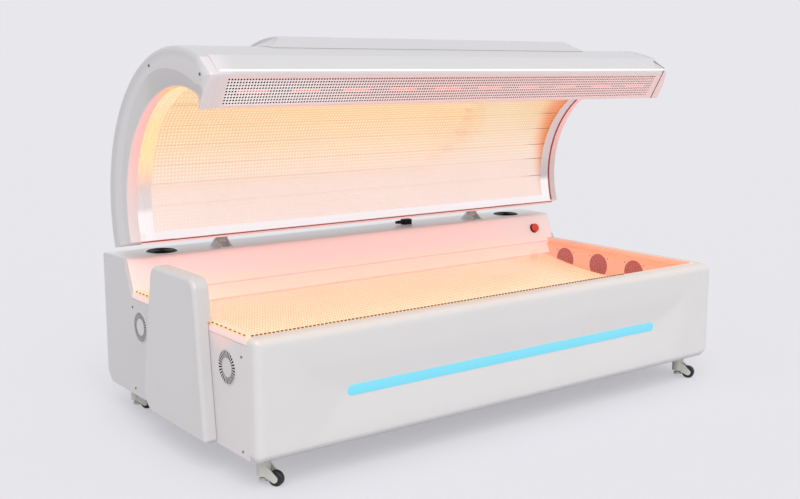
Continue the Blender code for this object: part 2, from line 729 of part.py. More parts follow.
def tub_liner():
    """The tub's four walls, with a ledge on three sides that carries the sheet."""
    back = console_face(CONSOLE_FOOT)
    inside = rectangle(TUB_HEAD, TUB_FRONT, TUB_FOOT, back)
    outside = rectangle(TUB_HEAD - TUB_WALL, TUB_FRONT - TUB_WALL, TUB_FOOT + TUB_WALL, back + TUB_WALL)
    liner = new_part("tub_liner", plan([outside, inside], TUB_BOTTOM, TUB_BACK_TOP), TUB_FACE)
    low = TUB_BACK_TOP - TUB_WALL
    wall = [(TUB_HEAD - TUB_WALL, CONSOLE_FRONT_Y), (TUB_HEAD - TUB_WALL, TUB_FRONT - TUB_WALL),
            (TUB_FOOT + TUB_WALL, TUB_FRONT - TUB_WALL), (TUB_FOOT + TUB_WALL, CONSOLE_FRONT_Y)]
    opening = [(TUB_FOOT, CONSOLE_FRONT_Y), (TUB_FOOT, TUB_FRONT), (TUB_HEAD, TUB_FRONT),
               (TUB_HEAD, CONSOLE_FRONT_Y)]
    upper = new_cutter("tub_upper", plan([wall + opening], low, LEDGE_TOP))
    ledge = [(INSIDE_HEAD, CONSOLE_FRONT_Y), (INSIDE_HEAD, FRONT_BACK_Y + GAP),
             (INSIDE_FOOT, FRONT_BACK_Y + GAP), (INSIDE_FOOT, CONSOLE_FRONT_Y)]
    join(upper, plan([ledge + opening], LEDGE_BOTTOM, LEDGE_TOP))
    cut(upper, console_solid(GAP))
    modifier = liner.modifiers.new("upper", "BOOLEAN")
    modifier.operation = "UNION"
    modifier.object = upper
    for y in foot_vent_places():
        centre = (TUB_FOOT, y, FOOT_VENT_HEIGHT)
        cut(liner, along_x(centre, FOOT_VENT_HOLE + GAP, -TUB_WALL, 2 * TUB_WALL, 24))


def foot_vent_places():
    return [BACK_Y - FOOT_VENT_FROM_BACK - step * FOOT_VENT_SPACING for step in range(FOOT_VENTS)]


def led_tray():
    """The shallow curved LED floor between the tub's front and back walls."""
    front = TUB_FRONT + GAP
    back = console_face(CONSOLE_FOOT) - GAP
    half = (back - front) / 2
    sag = LED_EDGE - LED_MIDDLE
    radius = (half * half + sag * sag) / (2 * sag)
    centre = ((front + back) / 2, LED_MIDDLE + radius)
    reach = math.asin(half / radius)
    top = arc(centre, radius, -math.pi / 2 - reach, -math.pi / 2 + reach, 14)
    under = [(y, z - LED_TRAY) for y, z in top]
    mesh = across(under + top[::-1], TUB_HEAD + GAP, TUB_FOOT - LED_AIR_GAP)
    new_part("bed_led_tray", mesh, LED_FACE)


def slot_ring():
    """The radial slots of a head-end grille, as bars through the disc."""
    bm = bmesh.new()
    for step in range(SLOT_COUNT):
        middle = (SLOT_INNER + SLOT_OUTER) / 2
        size = (SLOT_OUTER - SLOT_INNER, SLOT_WIDTH, 4 * END_PANEL)
        spin = Matrix.Rotation(2 * math.pi * step / SLOT_COUNT, 4, "Z")
        place = spin @ Matrix.Translation((middle, 0, 0)) @ Matrix.Diagonal((*size, 1))
        bmesh.ops.create_cube(bm, size=1, matrix=place)
    return mesh_from(bm, "slots")


def head_vent(name, y):
    """A disc with a ring of radial slots, its spigot in the end panel's opening."""
    face = Matrix.Translation((HEAD_X, y, HEAD_VENT_HEIGHT)) @ Matrix.Rotation(-math.pi / 2, 4, "Y")
    spigot = HEAD_VENT_HOLE - GAP
    edge = HEAD_VENT_RADIUS - HEAD_VENT_FLANGE
    top = GAP + HEAD_VENT_FLANGE
    profile = [(0, top), (edge, top), (HEAD_VENT_RADIUS, GAP), (spigot, GAP), (spigot, -END_PANEL),
               (0, -END_PANEL)]
    vent = new_part(name, turned(profile, 32), GRILLE, face)
    cut(vent, slot_ring())


def foot_vent(name, y):
    """A perforated disc on the tub's foot wall, its spigot in the wall."""
    face = Matrix.Translation((TUB_FOOT, y, FOOT_VENT_HEIGHT)) @ Matrix.Rotation(-math.pi / 2, 4, "Y")
    top = GAP + FOOT_VENT_FLANGE
    profile = [(0, top), (FOOT_VENT_RADIUS, top), (FOOT_VENT_RADIUS, GAP), (FOOT_VENT_HOLE, GAP),
               (FOOT_VENT_HOLE, -FOOT_VENT_FLANGE), (0, -FOOT_VENT_FLANGE)]
    vent = new_part(name, turned(profile, 24), DARK_RED, face)
    bm = bmesh.new()
    for ring in range(PERFORATION_RINGS):
        count = max(1, 6 * ring)
        for step in range(count):
            angle = 2 * math.pi * step / count
            reach = ring * FOOT_VENT_HOLE / PERFORATION_RINGS
            place = Matrix.Translation((reach * math.cos(angle), reach * math.sin(angle), 0))
            bmesh.ops.create_cone(bm, cap_ends=True, segments=5, radius1=PERFORATION, radius2=PERFORATION,
                                  depth=4 * top, matrix=place)
    cut(vent, mesh_from(bm, "perforations"))


def fan(place, y):
    """An axial fan behind a head-end grille: a square frame with a pin, and a bladed rotor on it."""
    face = Matrix.Translation((INSIDE_HEAD, y, HEAD_VENT_HEIGHT)) @ Matrix.Rotation(math.pi / 2, 4, "Y")
    half = FAN_SIZE / 2
    bar = FAN_BAR / 2
    web = FAN_DEPTH - 2 * FAN_PIN
    frame = new_part(f"fan_frame_{place}", box((-half, -half, 0), (half, half, FAN_DEPTH)), BLACK, face)
    cut(frame, rod((0, 0, -FAN_DEPTH), (0, 0, 2 * FAN_DEPTH), FAN_BORE))
    join(frame, box((-half, -bar, FAN_DEPTH - FAN_PIN), (half, bar, FAN_DEPTH)))
    join(frame, box((-bar, -half, FAN_DEPTH - FAN_PIN), (bar, half, FAN_DEPTH)))
    join(frame, rod((0, 0, FAN_PIN), (0, 0, FAN_DEPTH - FAN_PIN / 2), FAN_PIN, sides=16))
    hub = rod((0, 0, FAN_PIN), (0, 0, web), FAN_HUB)
    rotor = new_part(f"fan_rotor_{place}", hub, BLACK, face)
    tip = FAN_BORE - FAN_TIP_GAP
    chord = BLADE_FILL * (web - FAN_PIN) / math.sin(BLADE_PITCH)
    for step in range(FAN_BLADES):
        spin = Matrix.Rotation(2 * math.pi * step / FAN_BLADES, 4, "Z")
        lift = Matrix.Translation((0, 0, (web + FAN_PIN) / 2)) @ Matrix.Rotation(BLADE_PITCH, 4, "X")
        half_chord, half_thick = chord / 2, BLADE_THICKNESS / 2
        blade = box((FAN_HUB - BLADE_THICKNESS, -half_chord, -half_thick), (tip, half_chord, half_thick))
        join(rotor, moved(blade, spin @ lift))
    cut(rotor, rod((0, 0, 0), (0, 0, FAN_DEPTH), FAN_PIN + GAP, sides=16))
    carry(pivot(f"fan_axis_{place}", (INSIDE_HEAD, y, HEAD_VENT_HEIGHT)), rotor)


def head_cover():
    """The rounded cover outside the head end; above the rim it laps over the panel."""
    loop = rounded([(COVER_FOOT_SPAN[0], BASE_BOTTOM), (COVER_FOOT_SPAN[1], BASE_BOTTOM),
                    (COVER_TOP_SPAN[1], COVER_TOP), (COVER_TOP_SPAN[0], COVER_TOP)], COVER_CORNERS)
    outer = HEAD_X - COVER_OUT
    inner = HEAD_X + COVER_LAP

    def outer_edge(a, b):
        return near(a.x, outer) and near(b.x, outer)

    mesh = round_edges(across(loop, outer, inner), COVER_EDGE_ROUND, 3, outer_edge)
    cover = new_part("head_end_cover", mesh, WHITE)
    cut(cover, box((HEAD_X - GAP, FRONT_Y, 0), (FOOT_X, BACK_Y, RIM_HEIGHT + GAP)))


def speakers():
    """A black disc on the ridge at each end, its basket through the console."""
    for name, (x, y) in zip(("speaker_head", "speaker_foot"), speaker_places()):
        top = GAP + SPEAKER_FLANGE
        rim = SPEAKER_RADIUS - SPEAKER_FLANGE
        cone = SPEAKER_BASKET - CONSOLE_WALL
        profile = [(0, top), (rim, top), (SPEAKER_RADIUS, GAP), (SPEAKER_BASKET, GAP),
                   (SPEAKER_BASKET, -CONSOLE_WALL), (cone, -SPEAKER_DEPTH), (0, -SPEAKER_DEPTH)]
        new_part(name, turned(profile, 24), BLACK, Matrix.Translation((x, y, CONSOLE_HEIGHT)))


def stop_button():
    """The emergency stop: a bezel and body in the console, and a red mushroom that presses in."""
    face = estop_frame()
    top = GAP + ESTOP_BEZEL_HEIGHT
    chamfer = ESTOP_BEZEL_HEIGHT / 2
    profile = [(0, top), (ESTOP_BEZEL - chamfer, top), (ESTOP_BEZEL, top - chamfer), (ESTOP_BEZEL, GAP),
               (ESTOP_BODY, GAP), (ESTOP_BODY, -ESTOP_BODY_LENGTH), (0, -ESTOP_BODY_LENGTH)]
    base = new_part("estop_base", turned(profile, 24), BLACK, face)
    bore_foot = -ESTOP_BODY_LENGTH + ESTOP_BODY / 2
    cut(base, rod((0, 0, bore_foot), (0, 0, 2 * top), ESTOP_STEM + GAP, sides=20))
    under = top + ESTOP_TRAVEL + ESTOP_BEZEL_HEIGHT / 4
    crown = under + ESTOP_HEAD_HEIGHT
    stem_foot = bore_foot + ESTOP_TRAVEL + ESTOP_BEZEL_HEIGHT
    dome = [(ESTOP_HEAD * reach, crown - ESTOP_HEAD_HEIGHT * drop) for reach, drop in ESTOP_DOME]
    profile = [(0, crown), *dome, (ESTOP_HEAD, under), (ESTOP_STEM, under), (ESTOP_STEM, stem_foot),
               (0, stem_foot)]
    button = new_part("estop_button", turned(profile, 20), RED, face)
    carry(pivot("estop_axis", face.translation), button)


def cable_fitting():
    """The black block on the ridge where the canopy's supply comes up, and the gland at its side."""
    x = MID_X + BLOCK_FROM_MIDDLE
    y = BACK_Y - BLOCK_FROM_BACK
    seat = CONSOLE_HEIGHT + GAP
    length, depth, height = BLOCK_SIZE
    mesh = box((x - length / 2, y - depth / 2, seat), (x + length / 2, y + depth / 2, seat + height))
    mesh = round_edges(mesh, height / 8, 2, lambda a, b: max(a.z, b.z) > seat + height / 2)
    new_part("cable_block", mesh, BLACK)
    side = x - length / 2 - GAP
    middle = seat + height / 2
    gland = rod((side, y, middle), (side - GLAND_LENGTH, y, middle), GLAND_RADII[0], GLAND_RADII[1])
    new_part("cable_gland", gland, BLACK)


def driver():
    """The LED power supply on the floor sheet, with cooling fins."""
    length, depth, height = DRIVER_SIZE
    seat = FLOOR_SHEET_TOP + GAP
    shoulder = seat + height - DRIVER_FIN_HEIGHT
    low = (MID_X - length / 2, -depth / 2, seat)
    supply = new_part("led_driver", box(low, (MID_X + length / 2, depth / 2, shoulder)), SILVER)
    pitch = (depth - DRIVER_FIN) / (DRIVER_FINS - 1)
    for step in range(DRIVER_FINS):
        y = -depth / 2 + step * pitch
        join(supply, box((MID_X - length / 2, y, shoulder - DRIVER_FIN),
                         (MID_X + length / 2, y + DRIVER_FIN, shoulder + DRIVER_FIN_HEIGHT)))


def chassis():
    """The welded frame inside the panels, and the floor sheet under it."""
    front = FRONT_BACK_Y + GAP
    back = REAR_FACE_Y - REAR_PANEL - GAP
    floor = box((INSIDE_HEAD, front, BASE_BOTTOM), (INSIDE_FOOT, back, FLOOR_SHEET_TOP))
    new_part("bottom_tray", floor, PALE)
    low = FLOOR_SHEET_TOP + GAP
    high = low + BAR
    outside = rectangle(INSIDE_HEAD, front, INSIDE_FOOT, back)
    inside = rectangle(INSIDE_HEAD + BAR, front + BAR, INSIDE_FOOT - BAR, back - BAR)
    frame = new_part("chassis_frame", plan([outside, inside], low, high), STEEL)
    weld = BAR / 2
    for x in CROSS_BARS:
        middle = MID_X + x
        join(frame, box((middle - weld, front + weld, low + POST_INSET),
                        (middle + weld, back - weld, high - POST_INSET)))
    post = BAR - 2 * POST_INSET
    console_seat = CONSOLE_HEIGHT - CONSOLE_WALL - GAP
    for x in (INSIDE_HEAD + POST_INSET, INSIDE_FOOT - POST_INSET - post):
        for y, top in ((front + POST_INSET, LEDGE_BOTTOM - GAP), (back - POST_INSET - post, console_seat)):
            join(frame, box((x, y, low + weld), (x + post, y + post, top)))


def caster(name, x, y):
    """A levelling caster: a cast body that swivels, a wheel on its axle, and a pad that screws down."""
    place = Matrix.Translation((x, y, 0)) @ Matrix.Rotation(CASTER_TURN, 4, "Z")
    top = BASE_BOTTOM - GAP
    cap = top - CASTER_CAP_THICKNESS
    stem_top = PAD_CLEARANCE + PAD_THICKNESS + STEM_LENGTH
    bore = STEM_RADIUS + GAP
    profile = [(0, top), (CASTER_CAP, top), (CASTER_CAP, cap), (CASTER_HUB, cap - CASTER_CAP_THICKNESS),
               (CASTER_HUB, CASTER_HUB_BOTTOM), (bore, CASTER_HUB_BOTTOM), (bore, stem_top + FORK_GAP),
               (0, stem_top + FORK_GAP)]
    body = new_part(f"caster_body_{name}", turned(profile, 20), CAST, place)
    inside = WHEEL_WIDTH / 2 + FORK_GAP
    arm = arc((CASTER_TRAIL, AXLE_HEIGHT), FORK_BOSS, math.radians(-100), math.radians(60), 8)
    root = -FORK_CHEEK
    arm += [(root, cap - CASTER_CAP_THICKNESS - FORK_CHEEK / 2), (root, CASTER_HUB_BOTTOM + FORK_CHEEK)]
    for low in (-inside - FORK_CHEEK, inside):
        join(body, upright(arm, low, low + FORK_CHEEK))
    room = WHEEL_RADIUS + FORK_GAP
    side = inside - GAP
    well = rod((CASTER_TRAIL, -side, AXLE_HEIGHT), (CASTER_TRAIL, side, AXLE_HEIGHT), room)
    cut(body, well)
    reach = inside + FORK_CHEEK / 2
    axle = rod((CASTER_TRAIL, -reach, AXLE_HEIGHT), (CASTER_TRAIL, reach, AXLE_HEIGHT), AXLE_RADIUS, sides=16)
    join(body, axle)
    carry(pivot(f"caster_swivel_{name}", (x, y, 0)), body)
    pad_top = PAD_CLEARANCE + PAD_THICKNESS
    profile = [(0, stem_top), (STEM_RADIUS, stem_top), (STEM_RADIUS, pad_top), (PAD_SHOULDER, pad_top),
               (PAD_RADIUS, PAD_CLEARANCE + PAD_THICKNESS / 3), (PAD_RADIUS, PAD_CLEARANCE),
               (0, PAD_CLEARANCE)]
    pad = new_part(f"caster_pad_{name}", turned(profile, 16), BLACK, place)
    carry(pivot(f"caster_screw_{name}", (x, y, 0)), pad)
    eye = AXLE_RADIUS + WHEEL_BORE_GAP
    half = WHEEL_WIDTH / 2
    shoulder = WHEEL_WIDTH / 7
    profile = [(eye, half), (WHEEL_RADIUS - shoulder, half), (WHEEL_RADIUS, half - shoulder),
               (WHEEL_RADIUS, shoulder - half), (WHEEL_RADIUS - shoulder, -half), (eye, -half), (eye, half)]
    hub = Matrix.Translation((CASTER_TRAIL, 0, AXLE_HEIGHT)) @ Matrix.Rotation(-math.pi / 2, 4, "X")
    flat_down = Matrix.Rotation(math.pi / WHEEL_SIDES, 4, "Z")
    wheel = new_part(f"caster_wheel_{name}", turned(profile, WHEEL_SIDES), TYRE, place @ hub @ flat_down)
    carry(pivot(f"caster_axle_{name}", (place @ hub).translation), wheel)


def on_arc(centre, radius, angle):
    return arc(centre, radius, angle, angle, 1)[0]


def outer_arc():
    """The outer skin's points, from the bottom at the back to the lip."""
    return arc(OUTER_CENTRE, OUTER_RADIUS, BOTTOM_ANGLE, SHELL_END_ANGLE, ARC_STEPS)


def inner_arc(radius, start, end, steps=ARC_STEPS):
    return arc(INNER_CENTRE, radius, start, end, steps)


def cheek(name, outer, inner):
    """A C-shaped end of the canopy, rounded outside, with a set-back band along its inner edge."""
    skin = outer_arc()
    lip = [tuple(LIP_TOP), tuple(LIP_BOTTOM)]
    lining = inner_arc(INNER_RADIUS, INNER_END_ANGLE, INNER_BOTTOM_ANGLE)
    points = skin + lip + lining
    radii = [BOTTOM_ROUND] + [0] * (len(skin) - 1) + [LIP_ROUND, LIP_ROUND] + [0] * len(lining)
    mesh = across(rounded(points, radii), min(outer, inner), max(outer, inner))

    def skin_edge(a, b):
        ends = [(Vector(end.yz) - OUTER_CENTRE).length for end in (a, b)]
        return near(a.x, outer) and near(b.x, outer) and all(near(end, OUTER_RADIUS) for end in ends)

    made = new_part(name, round_edges(mesh, CHEEK_ROUND, 3, skin_edge), WHITE, CANOPY)
    start = INNER_BOTTOM_ANGLE - BOTTOM_TRIM_ANGLE
    end = INNER_END_ANGLE - SHEET_END
    band = inner_arc(INNER_RADIUS + CHEEK_BAND, start, end)
    band += inner_arc(INNER_RADIUS - CHEEK_BAND, end, start)
    step = outer + math.copysign(CHEEK_STEP, inner - outer)
    away = outer - math.copysign(CHEEK_STEP, inner - outer)
    cut(made, across(band, min(away, step), max(away, step)))
    return made


def canopy_shell():
    """The outer skin, folded in along the bottom."""
    corner, edge = Vector(BOTTOM_CORNER), Vector(BOTTOM_EDGE)
    inward = (corner - edge).normalized()
    lean = abs(INNER_BOTTOM_ANGLE) - math.atan2(-inward.y, inward.x)
    clear = (TRIM_THICKNESS + GAP + SHELL_WALL * math.sin(lean)) / math.cos(lean)
    fold = tuple(edge + inward * clear)
    skin = outer_arc()
    radii = [0, BOTTOM_ROUND] + [0] * (len(skin) - 1)
    path = rounded([fold] + skin, radii, closed=False)
    skin_solid = across(folded(path, SHELL_WALL), CANOPY_HEAD, CANOPY_FOOT)
    return new_part("canopy_shell", skin_solid, WHITE, CANOPY)


def lip_frame():
    """The lip's face: X along the canopy, Y up the face and Z out of it."""
    up = (LIP_TOP - LIP_BOTTOM).normalized()
    middle = (LIP_TOP + LIP_BOTTOM) / 2
    turn = Matrix(((1, 0, 0), (0, up.x, -up.y), (0, up.y, up.x))).to_4x4()
    return Matrix.Translation((MID_X, middle.x, middle.y)) @ turn


def canopy_lip():
    """The lip along the front: a folded moulding with a window, its grille plate and the bar behind it."""
    centre = OUTER_CENTRE
    start = SHELL_END_ANGLE + 2 * GAP / OUTER_RADIUS
    land = [on_arc(centre, OUTER_RADIUS, start), on_arc(centre, OUTER_RADIUS, start + LIP_LAND)]
    lining = on_arc(INNER_CENTRE, INNER_RADIUS, INNER_END_ANGLE)
    path = land + [LIP_TOP, LIP_BOTTOM, lining]
    path = rounded(path, [0, 0, LIP_ROUND, LIP_ROUND, 0], closed=False)
    lip = new_part("canopy_lip", across(folded(path, LIP_WALL), CANOPY_HEAD, CANOPY_FOOT), WHITE, CANOPY)
    face = lip_frame()
    half = (CANOPY_FOOT - CANOPY_HEAD) / 2 - GRILLE_END
    tall = Vector(LIP_FACE).length / 2 - GRILLE_MARGIN
    window = box((-half - GAP, -tall - GAP, -2 * LIP_WALL), (half + GAP, tall + GAP, LIP_WALL))
    cut(lip, moved(window, face))
    plate = box((-half, -tall, -LIP_WALL), (half, tall, GRILLE_PLATE - LIP_WALL))
    grille = new_part("lip_grille", moved(plate, face), PALE, CANOPY)
    back = -LIP_WALL - GAP
    width, depth = LIGHT_BAR
    bar = box((-half, -width / 2, back - depth), (half, width / 2, back))
    light = new_part("lip_light_bar", moved(bar, face), LED_FACE, CANOPY)
    return [lip, grille, light]


def canopy_lining():
    """What is lit inside: the flat LED strips, the clear cover, and the bright trims round it."""
    start = INNER_BOTTOM_ANGLE + BOTTOM_TRIM_ANGLE
    end = INNER_END_ANGLE - SHEET_END
    seam = GAP / INNER_RADIUS

    def sector(near_radius, thickness, first, last, steps=ARC_STEPS):
        far = inner_arc(near_radius + thickness, first, last, steps)
        return far + inner_arc(near_radius, last, first, steps)

    strips = sector(INNER_RADIUS + LED_BACK, LED_CARRIER, start, end, LED_STRIPS)
    carrier = new_part("canopy_led_carrier", across(strips, CANOPY_HEAD, CANOPY_FOOT), LED_FACE, CANOPY)
    low = CANOPY_HEAD + TRIM_WIDTH
    high = CANOPY_FOOT - TRIM_WIDTH
    cover = sector(INNER_RADIUS + COVER_SHEET_BACK, COVER_SHEET, start + seam, end)
    sheet = new_part("canopy_acrylic", across(cover, low + GAP, high - GAP), CLEAR, CANOPY)
    trim = sector(INNER_RADIUS, TRIM_THICKNESS, start + seam, end)
    head = new_part("arc_trim_head", across(trim, CANOPY_HEAD, low), SILVER, CANOPY)
    foot = new_part("arc_trim_foot", across(trim, high, CANOPY_FOOT), SILVER, CANOPY)
    sill = sector(INNER_RADIUS, TRIM_THICKNESS, INNER_BOTTOM_ANGLE, start, 2)
    bottom = new_part("bottom_trim", across(sill, CANOPY_HEAD, CANOPY_FOOT), SILVER, CANOPY)
    return [carrier, sheet, head, foot, bottom]


def top_housing():
    """The low housing along the canopy's top, tapered at both ends."""
    centre = OUTER_CENTRE
    step = (SHELL_END_ANGLE - BOTTOM_ANGLE) / ARC_STEPS
    grid = [BOTTOM_ANGLE + index * step for index in range(ARC_STEPS + 1)]
    span = [angle for angle in grid if HOUSING_START <= angle <= HOUSING_END]
    seat = [on_arc(centre, OUTER_RADIUS + GAP, angle) for angle in span]
    roof = arc(centre, OUTER_RADIUS + HOUSING_HEIGHT, span[-1] - HOUSING_SIDE_TAPER,
               span[0] + HOUSING_SIDE_TAPER, len(span))
    mesh = across(seat + roof, MID_X - HOUSING_LENGTH / 2, MID_X + HOUSING_LENGTH / 2)
    for vertex in mesh.vertices:
        reach = math.hypot(vertex.co.y - centre.x, vertex.co.z - centre.y)
        if reach > OUTER_RADIUS + HOUSING_HEIGHT / 2:
            vertex.co.x -= math.copysign(HOUSING_TAPER, vertex.co.x - MID_X)
    return new_part("canopy_top_housing", mesh, WHITE, CANOPY)


def hinge(name, x):
    """One hinge: a bracket with two ears on the ridge, its pin, and the leaf under the canopy."""
    corner, edge = Vector(BOTTOM_CORNER), Vector(BOTTOM_EDGE)
    ahead = (edge - corner).normalized()
    above = Vector((ahead.y, -ahead.x))
    seat = corner.dot(above) - GAP
    half = KNUCKLE_LENGTH / 2
    axis = (x, 0, 0)

    def leaf_point(along, up):
        return tuple(ahead * along + above * up)

    low = KNUCKLE_RADIUS * math.cos(math.pi / 6)
    loop = [leaf_point(-KNUCKLE_RADIUS / 2, low), leaf_point(LEAF_LENGTH, low),
            leaf_point(LEAF_LENGTH, seat), leaf_point(-KNUCKLE_RADIUS / 2, seat)]
    side = half - LEAF_INSET
    leaf = new_part(f"hinge_leaf_{name}", across(loop[::-1], x - side, x + side), STEEL, CANOPY)
    join(leaf, along_x(axis, KNUCKLE_RADIUS, -half, half))
    cut(leaf, along_x(axis, PIN_RADIUS + GAP, -2 * half, 2 * half, 20))
    floor = GAP - HINGE_ABOVE_CONSOLE
    top = floor + FOOT_PLATE
    wide = half + GAP + EAR
    bracket = new_part(f"hinge_bracket_{name}", box(
        (x - wide - FOOT_PLATE, -EAR_FRONT - FOOT_PLATE, floor),
        (x + wide + FOOT_PLATE, EAR_BACK + FOOT_PLATE, top)), STEEL, CANOPY)
    for inner in (-wide, half + GAP):
        ear = []
        for place in (x + inner, x + inner + EAR):
            ear += [(place, y, z) for y, z in arc((0, 0), KNUCKLE_RADIUS, 0, 2 * math.pi, 20)[:-1]]
            ear += [(place, -EAR_FRONT, floor + FOOT_PLATE / 2)]
            ear += [(place, EAR_BACK, floor + FOOT_PLATE / 2)]
        join(bracket, hull(ear))
    cut(bracket, along_x(axis, PIN_RADIUS + GAP, -2 * wide, 2 * wide, 20))
    pin = along_x(axis, PIN_RADIUS, -wide - FOOT_PLATE, wide + FOOT_PLATE, 20)
    new_part(f"hinge_pin_{name}", pin, SILVER, CANOPY)
    return leaf


def build():
    """All pieces of the bed."""
    front_panel()
    end_panels()
    rear_console()
    rear_panel()
    bed_rim()
    bed_sheet()
    tub_liner()
    led_tray()
    for number, y in enumerate(foot_vent_places(), start=1):
        foot_vent(f"foot_vent_{number}", y)
    for place, y in HEAD_VENT_PLACES.items():
        head_vent(f"head_vent_{place}", y)
        fan(place, y)
    head_cover()
    speakers()
    stop_button()
    cable_fitting()
    driver()
    chassis()
    for end, x in (("head", HEAD_X + CASTER_INSET_X), ("foot", FOOT_X - CASTER_INSET_X)):
        caster(f"front_{end}", x, FRONT_Y + CASTER_INSET_Y)
        caster(f"rear_{end}", x, BACK_Y - CASTER_INSET_Y)
    swinging = [canopy_shell(), cheek("canopy_cheek_head", HEAD_X, HEAD_X + CHEEK),
                cheek("canopy_cheek_foot", FOOT_X, FOOT_X - CHEEK), top_housing()]
    swinging += canopy_lip() + canopy_lining()
    swinging += [hinge("head", MID_X - HINGE_OFFSET), hinge("foot", MID_X + HINGE_OFFSET)]
    carry(pivot("canopy_axis", (MID_X, HINGE.x, HINGE.y)), *swinging)


build()
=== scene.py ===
# %% [markdown]
# # A red light bed, dressed in Blender
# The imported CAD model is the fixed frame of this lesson. It holds every solid of the bed, in metres, with
# the floor at z = 0. Each step takes one piece or one finish of the real bed and adds what the solids
# lack: soft moulded edges, rows of light chips, a perforated grille, screws, and the light itself.

# %% Load the frame
import json
import math

import bmesh
import bpy
import numpy as np
from mathutils import Matrix, Vector
from mathutils.bvhtree import BVHTree

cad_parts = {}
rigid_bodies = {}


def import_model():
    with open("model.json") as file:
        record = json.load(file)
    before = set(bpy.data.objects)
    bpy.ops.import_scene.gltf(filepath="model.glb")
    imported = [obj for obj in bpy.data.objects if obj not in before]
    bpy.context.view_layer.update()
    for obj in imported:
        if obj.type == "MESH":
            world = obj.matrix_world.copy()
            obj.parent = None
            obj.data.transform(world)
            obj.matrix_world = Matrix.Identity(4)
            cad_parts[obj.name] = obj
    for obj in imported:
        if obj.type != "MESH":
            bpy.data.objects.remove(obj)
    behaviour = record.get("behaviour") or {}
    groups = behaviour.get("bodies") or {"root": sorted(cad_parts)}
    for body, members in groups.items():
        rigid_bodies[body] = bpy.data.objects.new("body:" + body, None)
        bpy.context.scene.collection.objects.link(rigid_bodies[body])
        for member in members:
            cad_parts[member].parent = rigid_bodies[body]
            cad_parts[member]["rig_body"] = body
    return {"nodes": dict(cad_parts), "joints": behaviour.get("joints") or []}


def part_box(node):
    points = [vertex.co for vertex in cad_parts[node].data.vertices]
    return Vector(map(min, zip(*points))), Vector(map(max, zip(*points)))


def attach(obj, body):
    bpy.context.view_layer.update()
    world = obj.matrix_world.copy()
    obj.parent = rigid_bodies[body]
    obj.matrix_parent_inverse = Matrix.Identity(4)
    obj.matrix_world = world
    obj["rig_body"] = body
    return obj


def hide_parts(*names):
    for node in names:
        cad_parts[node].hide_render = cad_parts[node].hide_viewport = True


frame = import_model()
NODES = frame["nodes"]
JOINTS = {joint["name"]: joint for joint in frame["joints"]}
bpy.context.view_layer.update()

# %% [markdown]
# ## The camera
# The bed stands below eye level and is seen from its head end. A lens of normal length keeps the long
# front from stretching. A camera looks along its own -Z, so its turn comes from a direction to track.

# %% Camera
EYE = Vector((-2.544, -3.296, 1.278))
GAZE = Vector((0.5905, 0.7896, -0.1660))
LENS = 48.5

lens = bpy.data.cameras.new("bed_camera")
lens.sensor_fit = "HORIZONTAL"
lens.sensor_width = 36
lens.lens = LENS
camera = bpy.data.objects.new("bed_camera", lens)
camera.location = EYE
camera.rotation_euler = GAZE.to_track_quat("-Z", "Y").to_euler()
bpy.context.scene.collection.objects.link(camera)
bpy.context.scene.camera = camera
print("camera", round(EYE.length, 2), "m from the middle of the floor")

# %% [markdown]
# ## Nodes in a few words
# A material is a graph. These helpers add a node with its sockets set by name, join two sockets, lay one
# colour over another, and let gloss and surface vary, so that a finish reads as a list of what it is made of.

# %% Node helpers
def set_sockets(node, sockets):
    """Set input sockets by name; spaces in names are written as _."""
    for name, value in sockets.items():
        node.inputs[name.replace("_", " ")].default_value = value


def add_node(tree, kind, **sockets):
    made = tree.nodes.new("ShaderNode" + kind)
    set_sockets(made, sockets)
    return made


def join(tree, source, target):
    tree.links.new(source, target)


def new_group(name, inputs, outputs):
    """An empty node group with named sockets; returns it with its input and output nodes."""
    group = bpy.data.node_groups.new(name, "ShaderNodeTree")
    kinds = {"f": "NodeSocketFloat", "c": "NodeSocketColor", "v": "NodeSocketVector"}
    for label, kind in inputs:
        group.interface.new_socket(label, in_out="INPUT", socket_type=kinds[kind])
    for label, kind in outputs:
        group.interface.new_socket(label, in_out="OUTPUT", socket_type=kinds[kind])
    return group, group.nodes.new("NodeGroupInput"), group.nodes.new("NodeGroupOutput")


def use_group(tree, group, **sockets):
    made = tree.nodes.new("ShaderNodeGroup")
    made.node_tree = group
    set_sockets(made, sockets)
    return made


def lay_over(tree, below, tint, mask):
    """One colour over another where a mask is high; the lower one is a colour or a socket."""
    over = tree.nodes.new("ShaderNodeMix")
    over.data_type = "RGBA"
    over.inputs["B"].default_value = tint
    join(tree, mask, over.inputs["Factor"])
    if isinstance(below, tuple):
        over.inputs["A"].default_value = below
    else:
        join(tree, below, over.inputs["A"])
    return over.outputs["Result"]


def new_finish(name, **sockets):
    """A material with one Principled shader; returns the material, its tree and the shader."""
    finish = bpy.data.materials.new(name)
    finish.use_nodes = True
    tree = finish.node_tree
    shader = tree.nodes["Principled BSDF"]
    set_sockets(shader, sockets)
    return finish, tree, shader


def drift_gloss(tree, shader, patch, low, high):
    """Let the roughness drift between two values, as a noise does."""
    gloss = add_node(tree, "MapRange", To_Min=low, To_Max=high)
    join(tree, patch, gloss.inputs["Value"])
    join(tree, gloss.outputs["Result"], shader.inputs["Roughness"])


def light_up(tree, shader, glow):
    join(tree, glow, shader.inputs["Emission Color"])
    shader.inputs["Emission Strength"].default_value = 1.0


def bump_up(tree, shader, height, strength, distance):
    bump = add_node(tree, "Bump", Strength=strength, Distance=distance)
    join(tree, height, bump.inputs["Height"])
    join(tree, bump.outputs["Normal"], shader.inputs["Normal"])


print("node helpers ready")

# %% [markdown]
# ## One grain for every moulding
# No moulded or painted panel is one flat colour. Seen close, it has the faint orange peel of its mould or
# paint, and over an arm's length its tone drifts a little. One node group gives both, and each finish
# sets its own two tones and sizes. It reads object coordinates, so the grain stays on a piece that swings.

